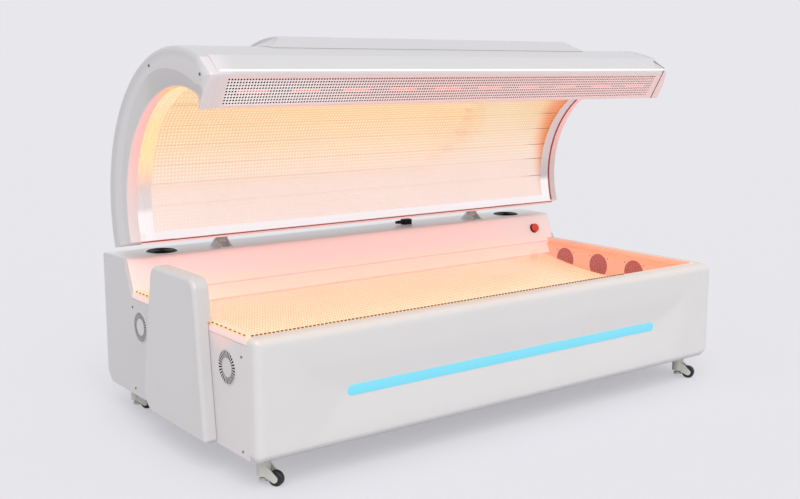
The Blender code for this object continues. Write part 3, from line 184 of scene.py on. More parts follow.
# %% Group: moulded grain
GRAIN, grain_in, grain_out = new_group(
    "moulded_grain",
    [("Light", "c"), ("Dark", "c"), ("Drift Size", "f"), ("Grain Size", "f")],
    [("Colour", "c"), ("Patch", "f"), ("Height", "f")])
place = GRAIN.nodes.new("ShaderNodeTexCoord")
drift = add_node(GRAIN, "TexNoise", Detail=3.0, Roughness=0.6)
peel = add_node(GRAIN, "TexNoise", Detail=2.0, Roughness=0.5)
tone = GRAIN.nodes.new("ShaderNodeMix")
tone.data_type = "RGBA"
for noise in (drift, peel):
    join(GRAIN, place.outputs["Object"], noise.inputs["Vector"])
join(GRAIN, grain_in.outputs["Drift Size"], drift.inputs["Scale"])
join(GRAIN, grain_in.outputs["Grain Size"], peel.inputs["Scale"])
join(GRAIN, drift.outputs["Fac"], tone.inputs["Factor"])
join(GRAIN, grain_in.outputs["Dark"], tone.inputs["A"])
join(GRAIN, grain_in.outputs["Light"], tone.inputs["B"])
join(GRAIN, tone.outputs["Result"], grain_out.inputs["Colour"])
join(GRAIN, drift.outputs["Fac"], grain_out.inputs["Patch"])
join(GRAIN, peel.outputs["Fac"], grain_out.inputs["Height"])
print("group", GRAIN.name)

# %% [markdown]
# ## Red light on white plastic
# The lamps throw pink light on the mouldings beside them. A mask that rises smoothly along a chosen
# direction stands for it, so that the ridge, the rim and the lip can each be tinted where they face the
# lamps. Two forms are needed: straight for most places, and round for the canopy's curve and for the corner
# where the head end meets the rim.

# %% Groups: light spill
def spill_group(name, first, measure):
    """A mask that rises from Start to End; its first socket is a direction or a centre."""
    group, given, made = new_group(
        name, [(first, "v"), ("Start", "f"), ("End", "f"), ("Amount", "f")], [("Mask", "f")])
    place = group.nodes.new("ShaderNodeTexCoord").outputs["Object"]
    if measure == "DISTANCE":
        flat = group.nodes.new("ShaderNodeVectorMath")
        flat.operation = "MULTIPLY"
        flat.inputs[1].default_value = (0, 1, 1)
        join(group, place, flat.inputs[0])
        place = flat.outputs["Vector"]
    reach = group.nodes.new("ShaderNodeVectorMath")
    reach.operation = measure
    rise = group.nodes.new("ShaderNodeMapRange")
    rise.interpolation_type = "SMOOTHSTEP"
    join(group, place, reach.inputs[0])
    join(group, given.outputs[first], reach.inputs[1])
    join(group, reach.outputs["Value"], rise.inputs["Value"])
    for source, target in (("Start", "From Min"), ("End", "From Max"), ("Amount", "To Max")):
        join(group, given.outputs[source], rise.inputs[target])
    join(group, rise.outputs["Result"], made.inputs["Mask"])
    return group


def spill_mask(tree, way, start, end, amount):
    """The mask of one spill; its way is a group with the direction or centre that the group takes."""
    group, where = way
    mask = use_group(tree, group, Start=start, End=end, Amount=amount)
    mask.inputs[0].default_value = where
    return mask.outputs["Mask"]


SPILL = spill_group("light_spill", "Along", "DOT_PRODUCT")
ROUND_SPILL = spill_group("round_light_spill", "Centre", "DISTANCE")
TO_FOOT, TO_HEAD = (SPILL, (1, 0, 0)), (SPILL, (-1, 0, 0))
TO_BACK, TO_FRONT = (SPILL, (0, 1, 0)), (SPILL, (0, -1, 0))
RISING, FALLING = (SPILL, (0, 0, 1)), (SPILL, (0, 0, -1))
print("groups", SPILL.name, ROUND_SPILL.name)

# %% [markdown]
# ## White mouldings
# The panels are white plastic with a soft gloss. The function makes one finish for each place on the bed:
# the same white and grain, with the spills that fall there laid over it one after another. A spill tints
# the plastic and also lets it glow a little, as plastic does that stands beside a strong lamp: this is
# painted light. Some spills paint shade or a highlight instead, and the darker whites are painted shade.

# %% Finishes: white mouldings
WHITE = (0.715, 0.700, 0.695, 1)
SHADE_WHITE = (0.680, 0.665, 0.662, 1)
# A darker copy of the white: painted shade on the end and rear panels.
SHADED_PANEL_WHITE = (0.620, 0.606, 0.606, 1)
SHADED_PANEL_DARK = (0.585, 0.572, 0.574, 1)
NO_LIGHT = (0, 0, 0, 1)
PINK = (0.95, 0.62, 0.60, 1)
PEACH = (0.98, 0.68, 0.50, 1)
GLOSS_DRIFT = 0.05


def moulding(name, light=WHITE, dark=SHADE_WHITE, roughness=0.34, spills=()):
    """White plastic with a fine peel; a spill is (colour, glow, way, start, end, amount)."""
    finish, tree, shader = new_finish(name, Coat_Weight=0.2, Coat_Roughness=0.18)
    grain = use_group(tree, GRAIN, Light=light, Dark=dark, Drift_Size=2.2, Grain_Size=420.0)
    colour = grain.outputs["Colour"]
    glow = NO_LIGHT
    for tint, strength, *spill in spills:
        mask = spill_mask(tree, *spill)
        lit = [strength * value for value in tint[:3]] + [1]
        colour = lay_over(tree, colour, tint, mask)
        glow = lay_over(tree, glow, lit, mask)
    join(tree, colour, shader.inputs["Base Color"])
    if spills:
        light_up(tree, shader, glow)
    drift_gloss(tree, shader, grain.outputs["Patch"], roughness - GLOSS_DRIFT, roughness + GLOSS_DRIFT)
    bump_up(tree, shader, grain.outputs["Height"], strength=0.03, distance=0.0004)
    return finish


ALONG, ACROSS, UP = Vector((1, 0, 0)), Vector((0, 1, 0)), Vector((0, 0, 1))
HINGE = Vector(JOINTS["canopy_hinge"]["pos_m"])
LINING_CENTRE = Vector((0, HINGE.y - 0.5300, HINGE.z + 0.18505))
LINING_RADIUS = 0.420
RIM_LOW, RIM_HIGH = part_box("bed_rim")
RIDGE_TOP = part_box("rear_console")[1].z
ROUND_LINING = (ROUND_SPILL, LINING_CENTRE)
ROUND_CORNER = (ROUND_SPILL, (0, -0.36, RIM_HIGH.z))

# Darker copies of the white: painted shade, deepest on the canopy, whose top the sun lights most.
BODY_WHITE = moulding("body_white", (0.65, 0.634, 0.632, 1), (0.615, 0.60, 0.60, 1))
CANOPY_WHITE = moulding("canopy_white", (0.615, 0.602, 0.610, 1), (0.585, 0.572, 0.58, 1), 0.3)
# Painted shade greys the front's lower roll, below about 0.12 m; painted peach lamp light runs along its top.
FRONT_WHITE = moulding("front_white", spills=[
    ((0.56, 0.545, 0.548, 1), 0.0, FALLING, -0.130, -0.112, 0.9),
    (PEACH, 0.06, RISING, RIM_HIGH.z - 0.030, RIM_HIGH.z + 0.004, 0.22)])
# Painted light: the end and rear panels grow lighter towards the front, the foot panel's tower above the rim
# is lighter and glows, and the head panel has pink lamp light at its corner by the rim.
PANEL_WHITE = moulding("panel_white", SHADED_PANEL_WHITE, SHADED_PANEL_DARK, 0.42, spills=[
    ((0.71, 0.68, 0.68, 1), 0.0, TO_FRONT, 0.0, 0.35, 1.0)])
FOOT_WHITE = moulding("foot_white", SHADED_PANEL_WHITE, SHADED_PANEL_DARK, 0.42, spills=[
    ((0.90, 0.80, 0.79, 1), 0.22, RISING, RIM_HIGH.z, RIM_HIGH.z + 0.030, 0.8)])
HEAD_WHITE = moulding("head_white", SHADED_PANEL_WHITE, SHADED_PANEL_DARK, 0.42, spills=[
    ((0.71, 0.68, 0.68, 1), 0.0, TO_FRONT, 0.0, 0.35, 1.0),
    (PINK, 0.10, ROUND_CORNER, 0.115, 0.020, 0.75)])
# Painted light: the ridge's top glows white where the canopy shades it, its face takes pink and peach lamp
# light, and it turns whiter towards the foot.
RIDGE_WHITE = moulding("ridge_white", spills=[
    (WHITE, 0.12, RISING, 0.585, 0.592, 1.0),
    (PINK, 0.10, TO_FRONT, -0.50, -0.40, 0.30),
    (PINK, 0.33, TO_FRONT, -0.394, -0.372, 0.92),
    (PEACH, 0.33, TO_FRONT, -0.352, -0.330, 0.45),
    (WHITE, 0.30, TO_FOOT, 0.45, 1.10, 0.45)])
# Painted lamp light on the rim: peach along the front, pink at the head and orange near the foot; the last
# spill makes the far foot end darker grey.
RIM_WHITE = moulding("rim_white", spills=[
    (PEACH, 0.20, TO_BACK, RIM_LOW.y - 0.004, RIM_LOW.y + 0.010, 0.95),
    ((0.88, 0.66, 0.64, 1), 0.08, TO_HEAD, -RIM_LOW.x - 0.010, -RIM_LOW.x - 0.003, 0.90),
    ((1.0, 0.47, 0.34, 1), 0.34, TO_FOOT, RIM_HIGH.x - 0.052, RIM_HIGH.x - 0.047, 0.95),
    ((0.55, 0.53, 0.54, 1), 0.0, TO_FOOT, RIM_HIGH.x - 0.042, RIM_HIGH.x - 0.036, 1.0)])
# Painted shade: the cheek's face is a darker white, darkest by the skin's edge and lighter towards the
# opening.
CHEEK_WHITE = moulding("cheek_white", (0.585, 0.572, 0.573, 1), (0.56, 0.548, 0.55, 1), 0.4, spills=[
    ((0.67, 0.655, 0.653, 1), 0.0, ROUND_LINING, LINING_RADIUS + 0.118, LINING_RADIUS + 0.085, 0.8)])
# Painted shade: the chamfer is a darker copy of the cheek's white, darker still towards the front, with
# painted pink lamp light at the opening's edge.
CHAMFER_SHADE = moulding("chamfer_painted_shade", (0.62, 0.606, 0.606, 1), (0.595, 0.58, 0.58, 1), 0.4, spills=[
    ((0.555, 0.532, 0.530, 1), 0.0, TO_FRONT, -0.17, -0.09, 1.0),
    (PINK, 0.10, ROUND_LINING, LINING_RADIUS + 0.008, LINING_RADIUS + 0.001, 0.5)])
# Painted light: the opening's wall is white plastic painted pink by the lamps, with an orange glow at the
# top.
CHEEK_LAMPLIGHT = moulding("cheek_painted_lamplight", (0.84, 0.72, 0.72, 1), (0.80, 0.68, 0.68, 1), 0.4, spills=[
    ((0.95, 0.55, 0.53, 1), 0.24, RISING, 0.70, 1.10, 1.0),
    ((1.0, 0.50, 0.22, 1), 0.34, RISING, 1.165, 1.215, 0.9)])
# Painted pink lamp light on the strip of the shell's edge below the lining.
SHELL_EDGE_GLOW = moulding("shell_edge_glow", spills=[(PINK, 0.22, RISING, 0.0, 0.1, 0.75)])
# Painted highlight: a near white, glowing strip along the lip's top edge.
EDGE_HIGHLIGHT = moulding("painted_edge_highlight", (0.90, 0.89, 0.89, 1), (0.86, 0.85, 0.85, 1), 0.25, spills=[
    ((0.95, 0.93, 0.93, 1), 0.38, RISING, 0.0, 0.1, 1.0)])
# The grille's white plate carries painted light: a faint white glow all over, pink at its top and towards the
# foot.
PUNCHED_WHITE = moulding("punched_white", (0.84, 0.81, 0.81, 1), (0.80, 0.77, 0.77, 1), 0.4, spills=[
    ((0.92, 0.86, 0.85, 1), 0.16, RISING, 0.0, 0.1, 1.0),
    (PINK, 0.10, RISING, 1.215, 1.262, 0.45),
    (PINK, 0.12, TO_FOOT, -0.95, -0.1, 0.65)])
# Painted pink lamp light over the lip below its top edge, turning lilac grey towards the head end.
LIP_WHITE = moulding("lip_white", (0.655, 0.645, 0.650, 1), (0.63, 0.62, 0.625, 1), spills=[
    (PINK, 0.18, FALLING, -1.264, -1.252, 0.62),
    ((0.72, 0.67, 0.685, 1), 0.08, TO_HEAD, 0.93, 1.00, 0.85)])
print("white finishes:", BODY_WHITE.name, RIDGE_WHITE.name, RIM_WHITE.name, CHEEK_WHITE.name, LIP_WHITE.name)

# %% [markdown]
# ## Metal, black plastic and rubber
# The bright trims are polished aluminium, brushed along their length. The casters are cast metal under
# cream paint with black tyres, and the small fittings are black plastic. Each keeps its grain: brushing is
# noise stretched along one axis, and cast metal is a coarser peel.

# %% Finishes: plain materials
def grained(name, light, dark, roughness, grain=300.0, bump_depth=0.0005, **sockets):
    """A finish whose colour and gloss drift a little, over a fine bump."""
    finish, tree, shader = new_finish(name, **sockets)
    tone = use_group(tree, GRAIN, Light=light, Dark=dark, Drift_Size=9.0, Grain_Size=grain)
    join(tree, tone.outputs["Colour"], shader.inputs["Base Color"])
    drift_gloss(tree, shader, tone.outputs["Patch"], roughness * 0.8, roughness * 1.2)
    bump_up(tree, shader, tone.outputs["Height"], strength=0.12, distance=bump_depth)
    return finish


def brushed(name, light, dark, roughness, scale, glows=()):
    """Polished metal with fine lines along one axis; a glow is painted light, given as (colour, way, start,
    end, amount).
    """
    finish, tree, shader = new_finish(name, Metallic=1.0)
    place = tree.nodes.new("ShaderNodeTexCoord")
    pull = add_node(tree, "Mapping", Scale=scale)
    lines = add_node(tree, "TexNoise", Scale=1.0, Detail=4.0)
    tone = lay_over(tree, dark, light, lines.outputs["Fac"])
    join(tree, place.outputs["Object"], pull.inputs["Vector"])
    join(tree, pull.outputs["Vector"], lines.inputs["Vector"])
    join(tree, tone, shader.inputs["Base Color"])
    drift_gloss(tree, shader, lines.outputs["Fac"], roughness * 0.6, roughness * 1.5)
    glow = NO_LIGHT
    for colour, *spill in glows:
        glow = lay_over(tree, glow, colour, spill_mask(tree, *spill))
    if glows:
        light_up(tree, shader, glow)
    return finish


TRIM_LIGHT = (0.80, 0.72, 0.71, 1)
TRIM_DARK = (0.66, 0.59, 0.58, 1)
# Painted light on the trims: the gleam is a painted highlight low on the arc bands; the other glows paint the
# lamps' light on the metal, faint all over the head band and the bottom trim, orange at the head band's top
# and dark red at the foot band's top.
TRIM_GLEAM = ((0.42, 0.41, 0.40, 1), FALLING, -0.785, -0.755, 0.95)
HEAD_TRIM = brushed("head_trim", TRIM_LIGHT, TRIM_DARK, 0.24, (300, 4, 4), [
    ((0.20, 0.18, 0.18, 1), RISING, 0.0, 0.1, 1.0), TRIM_GLEAM,
    ((0.62, 0.33, 0.12, 1), RISING, 0.84, 0.97, 0.95)])
FOOT_TRIM = brushed("foot_trim", TRIM_LIGHT, TRIM_DARK, 0.24, (300, 4, 4), [
    TRIM_GLEAM, ((0.12, 0.05, 0.04, 1), RISING, 0.80, 0.90, 1.0)])
BOTTOM_TRIM = brushed("bottom_trim", (0.93, 0.91, 0.91, 1), (0.80, 0.78, 0.78, 1), 0.2, (3, 400, 400), [
    ((0.26, 0.20, 0.19, 1), RISING, 0.0, 0.1, 1.0)])
STEEL_PIN = brushed("steel_pin", (0.75, 0.75, 0.76, 1), (0.60, 0.60, 0.61, 1), 0.22, (4, 300, 300))
SHEET_METAL = brushed("sheet_metal", (0.70, 0.70, 0.71, 1), (0.60, 0.60, 0.61, 1), 0.35, (6, 200, 200))
HINGE_PAINT = grained("hinge_paint", (0.86, 0.86, 0.88, 1), (0.80, 0.80, 0.82, 1), 0.38)
FRAME_PAINT = grained("frame_paint", (0.34, 0.35, 0.37, 1), (0.27, 0.28, 0.30, 1), 0.5)
BLACK = grained("black_plastic", (0.016, 0.015, 0.015, 1), (0.008, 0.008, 0.008, 1), 0.5, 900.0,
                Specular_IOR_Level=0.2)
TYRE = grained("black_tyre", (0.020, 0.020, 0.020, 1), (0.010, 0.010, 0.011, 1), 0.55, 700.0)
PAD_RUBBER = grained("pad_rubber", (0.55, 0.55, 0.51, 1), (0.46, 0.46, 0.42, 1), 0.6, 500.0)
CAST_CREAM = grained("cast_cream", (0.66, 0.66, 0.61, 1), (0.55, 0.55, 0.50, 1), 0.45, 260.0, 0.0012)
GRILLE_GREY = moulding("grille_grey", (0.66, 0.63, 0.63, 1), (0.62, 0.59, 0.59, 1), 0.45)
STOP_RED = grained("stop_red", (0.88, 0.06, 0.03, 1), (0.76, 0.04, 0.02, 1), 0.22, 200.0, 0.0001)
# Painted shade: a dead black with little gloss, laid where the grille slots and the lip's holes look into
# shade.
SHADE_BLACK = grained("painted_shade_black", (0.014, 0.010, 0.009, 1), (0.008, 0.006, 0.006, 1), 0.85,
                     Specular_IOR_Level=0.1)
DARK_SCREW = grained("dark_screw", (0.20, 0.20, 0.20, 1), (0.10, 0.10, 0.10, 1), 0.35, Metallic=0.8)
print("plain finishes made")

# %% [markdown]
# ## Light that is seen
# The lamp boards glow warm: peach where one looks along them, and yellow at the top of the canopy. A board
# is both lit and lamp, so its finish has a base colour and an emission that change with height. The blue
# strip is a diffuser with a barely uneven light behind it.

# %% Finishes: lamps and clear sheets
def lamp(name, low_colour, high_colour, low, high, strength, base=0.45, overlays=()):
    """A glowing surface: two colours over a height, and overlays of (colour, way, start, end, amount)."""
    finish, tree, shader = new_finish(name, Roughness=0.5, Emission_Strength=strength)
    uneven = use_group(tree, GRAIN, Light=(1, 1, 1, 1), Dark=(0.95, 0.95, 0.95, 1), Drift_Size=5.0,
                       Grain_Size=80.0)
    colour = low_colour
    for tint, *spill in [(high_colour, RISING, low, high, 1.0), *overlays]:
        colour = lay_over(tree, colour, tint, spill_mask(tree, *spill))
    shown = tree.nodes.new("ShaderNodeMix")
    paint = tree.nodes.new("ShaderNodeMix")
    for blend in (shown, paint):
        blend.data_type = "RGBA"
        blend.blend_type = "MULTIPLY"
        blend.inputs["Factor"].default_value = 1.0
    paint.inputs["B"].default_value = (base, base, base, 1)
    join(tree, colour, shown.inputs["A"])
    join(tree, uneven.outputs["Colour"], shown.inputs["B"])
    join(tree, shown.outputs["Result"], shader.inputs["Emission Color"])
    join(tree, shown.outputs["Result"], paint.inputs["A"])
    join(tree, paint.outputs["Result"], shader.inputs["Base Color"])
    return finish


FOOT_CORNER = (SPILL, (1, 0, 1.2))
FOOT_EDGE = (SPILL, (1, 0, 0.25))
CANOPY_BOARD = lamp("canopy_board", (1.0, 0.80, 0.74, 1), (0.91, 0.63, 0.345, 1), 0.72, 1.20, 0.76, overlays=[
    ((0.92, 0.40, 0.10, 1), FOOT_CORNER, 1.98, 2.50, 0.8),
    ((0.84, 0.17, 0.01, 1), FOOT_EDGE, 1.16, 1.27, 0.97)])
BED_BOARD = lamp("bed_board", (1.0, 0.63, 0.42, 1), (1.0, 0.67, 0.49, 1), 0.36, 0.42, 0.64, overlays=[
    ((0.95, 0.44, 0.20, 1), TO_FOOT, 0.70, 1.02, 0.9)])
CHIP_CANOPY = lamp("canopy_chip", (1.0, 0.90, 0.80, 1), (1.0, 0.86, 0.52, 1), 0.74, 1.20, 1.0, 0.3, overlays=[
    ((1.0, 0.66, 0.24, 1), FOOT_CORNER, 1.98, 2.50, 1.0),
    ((0.85, 0.675, 0.62, 1), FALLING, -0.93, -0.80, 1.0),
    ((1.0, 0.42, 0.06, 1), FOOT_EDGE, 1.15, 1.25, 0.95)])
CHIP_BED = lamp("bed_chip", (1.0, 0.80, 0.54, 1), (1.0, 0.82, 0.59, 1), 0.36, 0.42, 1.05, 0.3, overlays=[
    ((0.78, 0.53, 0.40, 1), TO_BACK, 0.00, 0.30, 0.6)])
# The tub's liner is no lamp: its glow is painted lamp light from the boards.
TUB_GLOW = lamp("tub_glow", (1.0, 0.60, 0.44, 1), (1.0, 0.66, 0.54, 1), 0.36, 0.46, 0.62, overlays=[
    ((1.0, 0.41, 0.24, 1), TO_FOOT, 0.98, 1.02, 1.0)])
# Painted lamp light: the foot vents are no lamps, but glow red.
VENT_RED_GLOW = lamp("vent_red_glow", (0.60, 0.036, 0.014, 1), (0.64, 0.040, 0.016, 1), 0.36, 0.46, 0.62, 0.15)
# Painted lamp light: the seal along the sheet glows pink.
SEAL_GLOW = lamp("seal_pink_glow", (0.94, 0.63, 0.59, 1), (0.94, 0.63, 0.59, 1), 0.46, 0.49, 0.70, 0.3)
BLUE_GLOW = lamp("blue_glow", (0.20, 0.70, 0.88, 1), (0.22, 0.74, 0.92, 1), 0.25, 0.29, 0.84, 0.2)
DASH_GLOW = lamp("dash_glow", (1.0, 0.06, 0.03, 1), (1.0, 0.09, 0.04, 1), 1.15, 1.26, 1.3)
BOARD_SEAM = lamp("board_seam", (0.95, 0.78, 0.68, 1), (0.88, 0.62, 0.38, 1), 0.72, 1.20, 0.62, overlays=[
    ((0.30, 0.13, 0.06, 1), TO_FOOT, 0.86, 0.98, 1.0)])
SEAM_RED = lamp("seam_red", (0.40, 0.030, 0.040, 1), (0.50, 0.040, 0.045, 1), 0.6, 1.2, 0.40)
BEAD_AMBER = lamp("bead_amber", (0.42, 0.20, 0.04, 1), (0.36, 0.16, 0.03, 1), 0.46, 0.49, 0.25)
BEAD_YELLOW = lamp("bead_yellow", (1.0, 0.60, 0.12, 1), (1.0, 0.66, 0.2, 1), 0.46, 0.49, 0.7)


def clear_sheet(name, tint, roughness, ior):
    """Clear acrylic: glass-like, with the faintest haze."""
    finish, tree, shader = new_finish(name, Transmission_Weight=1.0, IOR=ior, Base_Color=tint)
    haze = use_group(tree, GRAIN, Drift_Size=3.0, Grain_Size=200.0)
    drift_gloss(tree, shader, haze.outputs["Patch"], roughness * 0.5, roughness * 1.5)
    return finish


CLEAR_SHEET = clear_sheet("clear_sheet", (1.0, 0.99, 0.98, 1), 0.02, 1.025)
CLEAR_COVER = clear_sheet("clear_cover", (1.0, 0.99, 0.98, 1), 0.02, 1.49)
print("lamps and clear sheets made")

# %% [markdown]
# ## New pieces
# A new piece is a mesh in the frame's own coordinates. It rides on the body that carries it, so it swings
# or turns with that body, and it may stand for a CAD solid, which is then hidden. Most shapes here are
# lofts: rings of points, each joined to the next by a band of faces.

# %% Piece helpers
def new_piece(name, mesh, body, slot, *finishes, replaces=()):
    """An object for a mesh, with its finishes, riding on a body; it may stand for CAD nodes."""
    piece = bpy.data.objects.new(name, mesh)
    bpy.context.scene.collection.objects.link(piece)
    for finish in finishes:
        mesh.materials.append(finish)
    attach(piece, body)
    if replaces:
        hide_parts(*replaces)
    return piece


def mesh_of(bm, name):
    mesh = bpy.data.meshes.new(name)
    bm.to_mesh(mesh)
    bm.free()
    return mesh


def solid_of(bm, name, crease=None):
    """A closed mesh that looks outward; edges sharper than the crease angle stay sharp when it is smooth."""
    bmesh.ops.recalc_face_normals(bm, faces=bm.faces)
    mesh = mesh_of(bm, name)
    if crease:
        mesh.set_sharp_from_angle(angle=math.radians(crease))
    return mesh


def loft(bm, rings, closed=False, smooth=False):
    """Faces from each ring of points to the next, and from the last back to the first when closed."""
    faces = []
    for ring, following in zip(rings, rings[1:] + rings[:1] if closed else rings[1:]):
        for index in range(len(ring)):
            after = (index + 1) % len(ring)
            faces.append(bm.faces.new((ring[index], ring[after], following[after], following[index])))
            faces[-1].smooth = smooth
    return faces


def turned_rings(bm, middle, profile, sides, turn=Matrix.Identity(3)):
    """Rings of points about an axis through a middle, one for each (radius, height) of a profile."""
    rings = []
    for radius, height in profile:
        angles = [2 * math.pi * index / sides for index in range(sides)]
        spots = [Vector((radius * math.cos(angle), radius * math.sin(angle), height)) for angle in angles]
        rings.append([bm.verts.new(middle + turn @ spot) for spot in spots])
    return rings


def body_of(node):
    """The body that carries a CAD node."""
    return NODES[node]["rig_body"]


def span(node, direction):
    """How far a node reaches along a direction: its lowest and highest value there."""
    reach = [vertex.co.dot(direction) for vertex in NODES[node].data.vertices]
    return min(reach), max(reach)


print("piece helpers ready")

# %% [markdown]
# ## Soft edges
# A moulded panel has no sharp edge: the tool that made it leaves a radius of a few millimetres, and that
# radius catches a line of light. The CAD solids are crisp, so each moulding gets a copy whose flat faces
# are made whole again and whose edges are rounded by a bevel. A weld closes the bevel's corners, and
# weighted normals keep the flats flat.

# %% Mouldings with rounded edges
BEVEL_STEPS = 3
BEVEL_ANGLE = math.radians(28)
SAME_PLANE = math.radians(0.6)
SAME_POINT, SAME_CORNER = 0.00001, 0.00002


def soften(node, width, finish, slot):
    """A copy of a CAD moulding with rounded edges, in place of it."""
    bm = bmesh.new()
    bm.from_mesh(NODES[node].data)
    bmesh.ops.remove_doubles(bm, verts=bm.verts, dist=SAME_POINT)
    bmesh.ops.dissolve_limit(bm, angle_limit=SAME_PLANE, verts=bm.verts, edges=bm.edges)
    for face in bm.faces:
        face.smooth = True
        face.material_index = 0
    mesh = mesh_of(bm, node + "_moulding")
    piece = new_piece(node + "_moulding", mesh, body_of(node), slot, finish, replaces=[node])
    bevel = piece.modifiers.new("soft_edges", "BEVEL")
    bevel.width = width
    bevel.segments = BEVEL_STEPS
    bevel.limit_method = "ANGLE"
    bevel.angle_limit = BEVEL_ANGLE
    bevel.use_clamp_overlap = True
    bevel.harden_normals = True
    weld = piece.modifiers.new("closed_corners", "WELD")
    weld.merge_threshold = SAME_CORNER
    flatten = piece.modifiers.new("flat_faces", "WEIGHTED_NORMAL")
    flatten.keep_sharp = True


MOULDINGS = [
    ("rear_console", 0.002, RIDGE_WHITE, "white_shell"),
    ("head_end_cover", 0.020, BODY_WHITE, "white_shell"),
    ("bed_rim", 0.003, RIM_WHITE, "white_shell"),
    ("canopy_shell", 0.002, CANOPY_WHITE, "white_shell"),
    ("canopy_top_housing", 0.006, CANOPY_WHITE, "white_shell"),
    ("canopy_lip", 0.0015, LIP_WHITE, "white_shell"),
    ("head_end_panel", 0.0015, HEAD_WHITE, "pale_panel"),
    ("foot_end_panel", 0.0015, FOOT_WHITE, "pale_panel"),
    ("rear_panel", 0.0015, PANEL_WHITE, "pale_panel"),
]
for node, width, finish, slot in MOULDINGS:
    soften(node, width, finish, slot)
print("softened", len(MOULDINGS), "mouldings")

# %% [markdown]
# ## The moulded front
# The front is the largest moulding of all: its edges roll over, its corners are round, and a shallow
# hip-shaped valley runs along it without one hard crease. A ray to the CAD panel gives the depth at any
# point, and each point of the new surface takes the mean depth round it, which softens the creases. Towards
# the outline the surface rolls back by a quarter circle.

# %% Depth of the front
FRONT_LOW, FRONT_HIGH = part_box("front_panel")
FRONT_ROLL = 0.026
HEAD_ROUND = 0.016
FOOT_TOP_ROUND = 0.030
FOOT_LOW_ROUND = 0.045
VALLEY_DEPTH = 0.018
VALLEY_FOOT, VALLEY_TOP = 0.140, 0.452
SOFT_STEP = 0.0125
SOFT_WEIGHTS = {-2: 1, -1: 2, 0: 3, 1: 2, 2: 1}
ROLL_STEPS = 6
FRONT_GRID = (0.014, 0.009)
FRONT_BORDER = 0.020
FRONT_SKIN = 0.034
RAY_RUN = 0.1
front_mesh = bmesh.new()
front_mesh.from_mesh(NODES["front_panel"].data)
front_rays = BVHTree.FromBMesh(front_mesh)
front_mesh.free()


def valley_depth(x, z):
    """How far the CAD panel lies behind its foremost plane, away from its rolled edges."""
    near_end = min(x - FRONT_LOW.x, FRONT_HIGH.x - x) < FRONT_ROLL
    if near_end or not VALLEY_FOOT < z < VALLEY_TOP:
        return 0.0
    spot = front_rays.ray_cast(Vector((x, FRONT_LOW.y - RAY_RUN, z)), ACROSS)[0]
    return min(spot.y - FRONT_LOW.y, VALLEY_DEPTH) if spot else 0.0


def soft_depth(x, z):
    """The mean depth round a point, the nearest counting most."""
    total = 0.0
    for across, first in SOFT_WEIGHTS.items():
        for rise, second in SOFT_WEIGHTS.items():
            share = first * second / sum(SOFT_WEIGHTS.values()) ** 2
            total += share * valley_depth(x + across * SOFT_STEP, z + rise * SOFT_STEP)
    return total


FRONT_MIDDLE = (FRONT_LOW + FRONT_HIGH) / 2
FRONT_HALF = (FRONT_HIGH - FRONT_LOW) / 2


def corner_radius(x, z):
    """The panel is rounder at the foot than at the head, and roundest below."""
    if x < FRONT_MIDDLE.x:
        return HEAD_ROUND
    return FOOT_TOP_ROUND if z > FRONT_MIDDLE.z else FOOT_LOW_ROUND


def inside_outline(x, z):
    """How far a point lies inside the panel's round-cornered outline."""
    radius = corner_radius(x, z)
    past_x = abs(x - FRONT_MIDDLE.x) - FRONT_HALF.x + radius
    past_z = abs(z - FRONT_MIDDLE.z) - FRONT_HALF.z + radius
    outside = math.hypot(max(past_x, 0), max(past_z, 0)) + min(max(past_x, past_z), 0)
    return radius - outside


def even_steps(low, high, step):
    """Values from low to high, close together on the rolled edges and even between them."""
    angles = [math.pi / 2 * index / ROLL_STEPS for index in range(ROLL_STEPS)]
    roll = [FRONT_ROLL * (1 - math.cos(angle)) for angle in angles]
    flat = high - low - 2 * FRONT_ROLL
    count = round(flat / step)
    between = [low + FRONT_ROLL + flat * index / count for index in range(count + 1)]
    return [low + value for value in roll] + between + [high - value for value in reversed(roll)]


print("valley depth at the middle:", round(soft_depth(0.0, 0.330), 4))


# %% Front moulding
def row_end(x, z):
    """Where a row of points at a height stops on the round-cornered outline, at one end of the panel."""
    radius = corner_radius(x, z)
    up = max(radius - min(z - FRONT_LOW.z, FRONT_HIGH.z - z), 0)
    shorter = radius - math.sqrt(max(radius ** 2 - up ** 2, 0))
    return x + math.copysign(shorter, FRONT_MIDDLE.x - x)


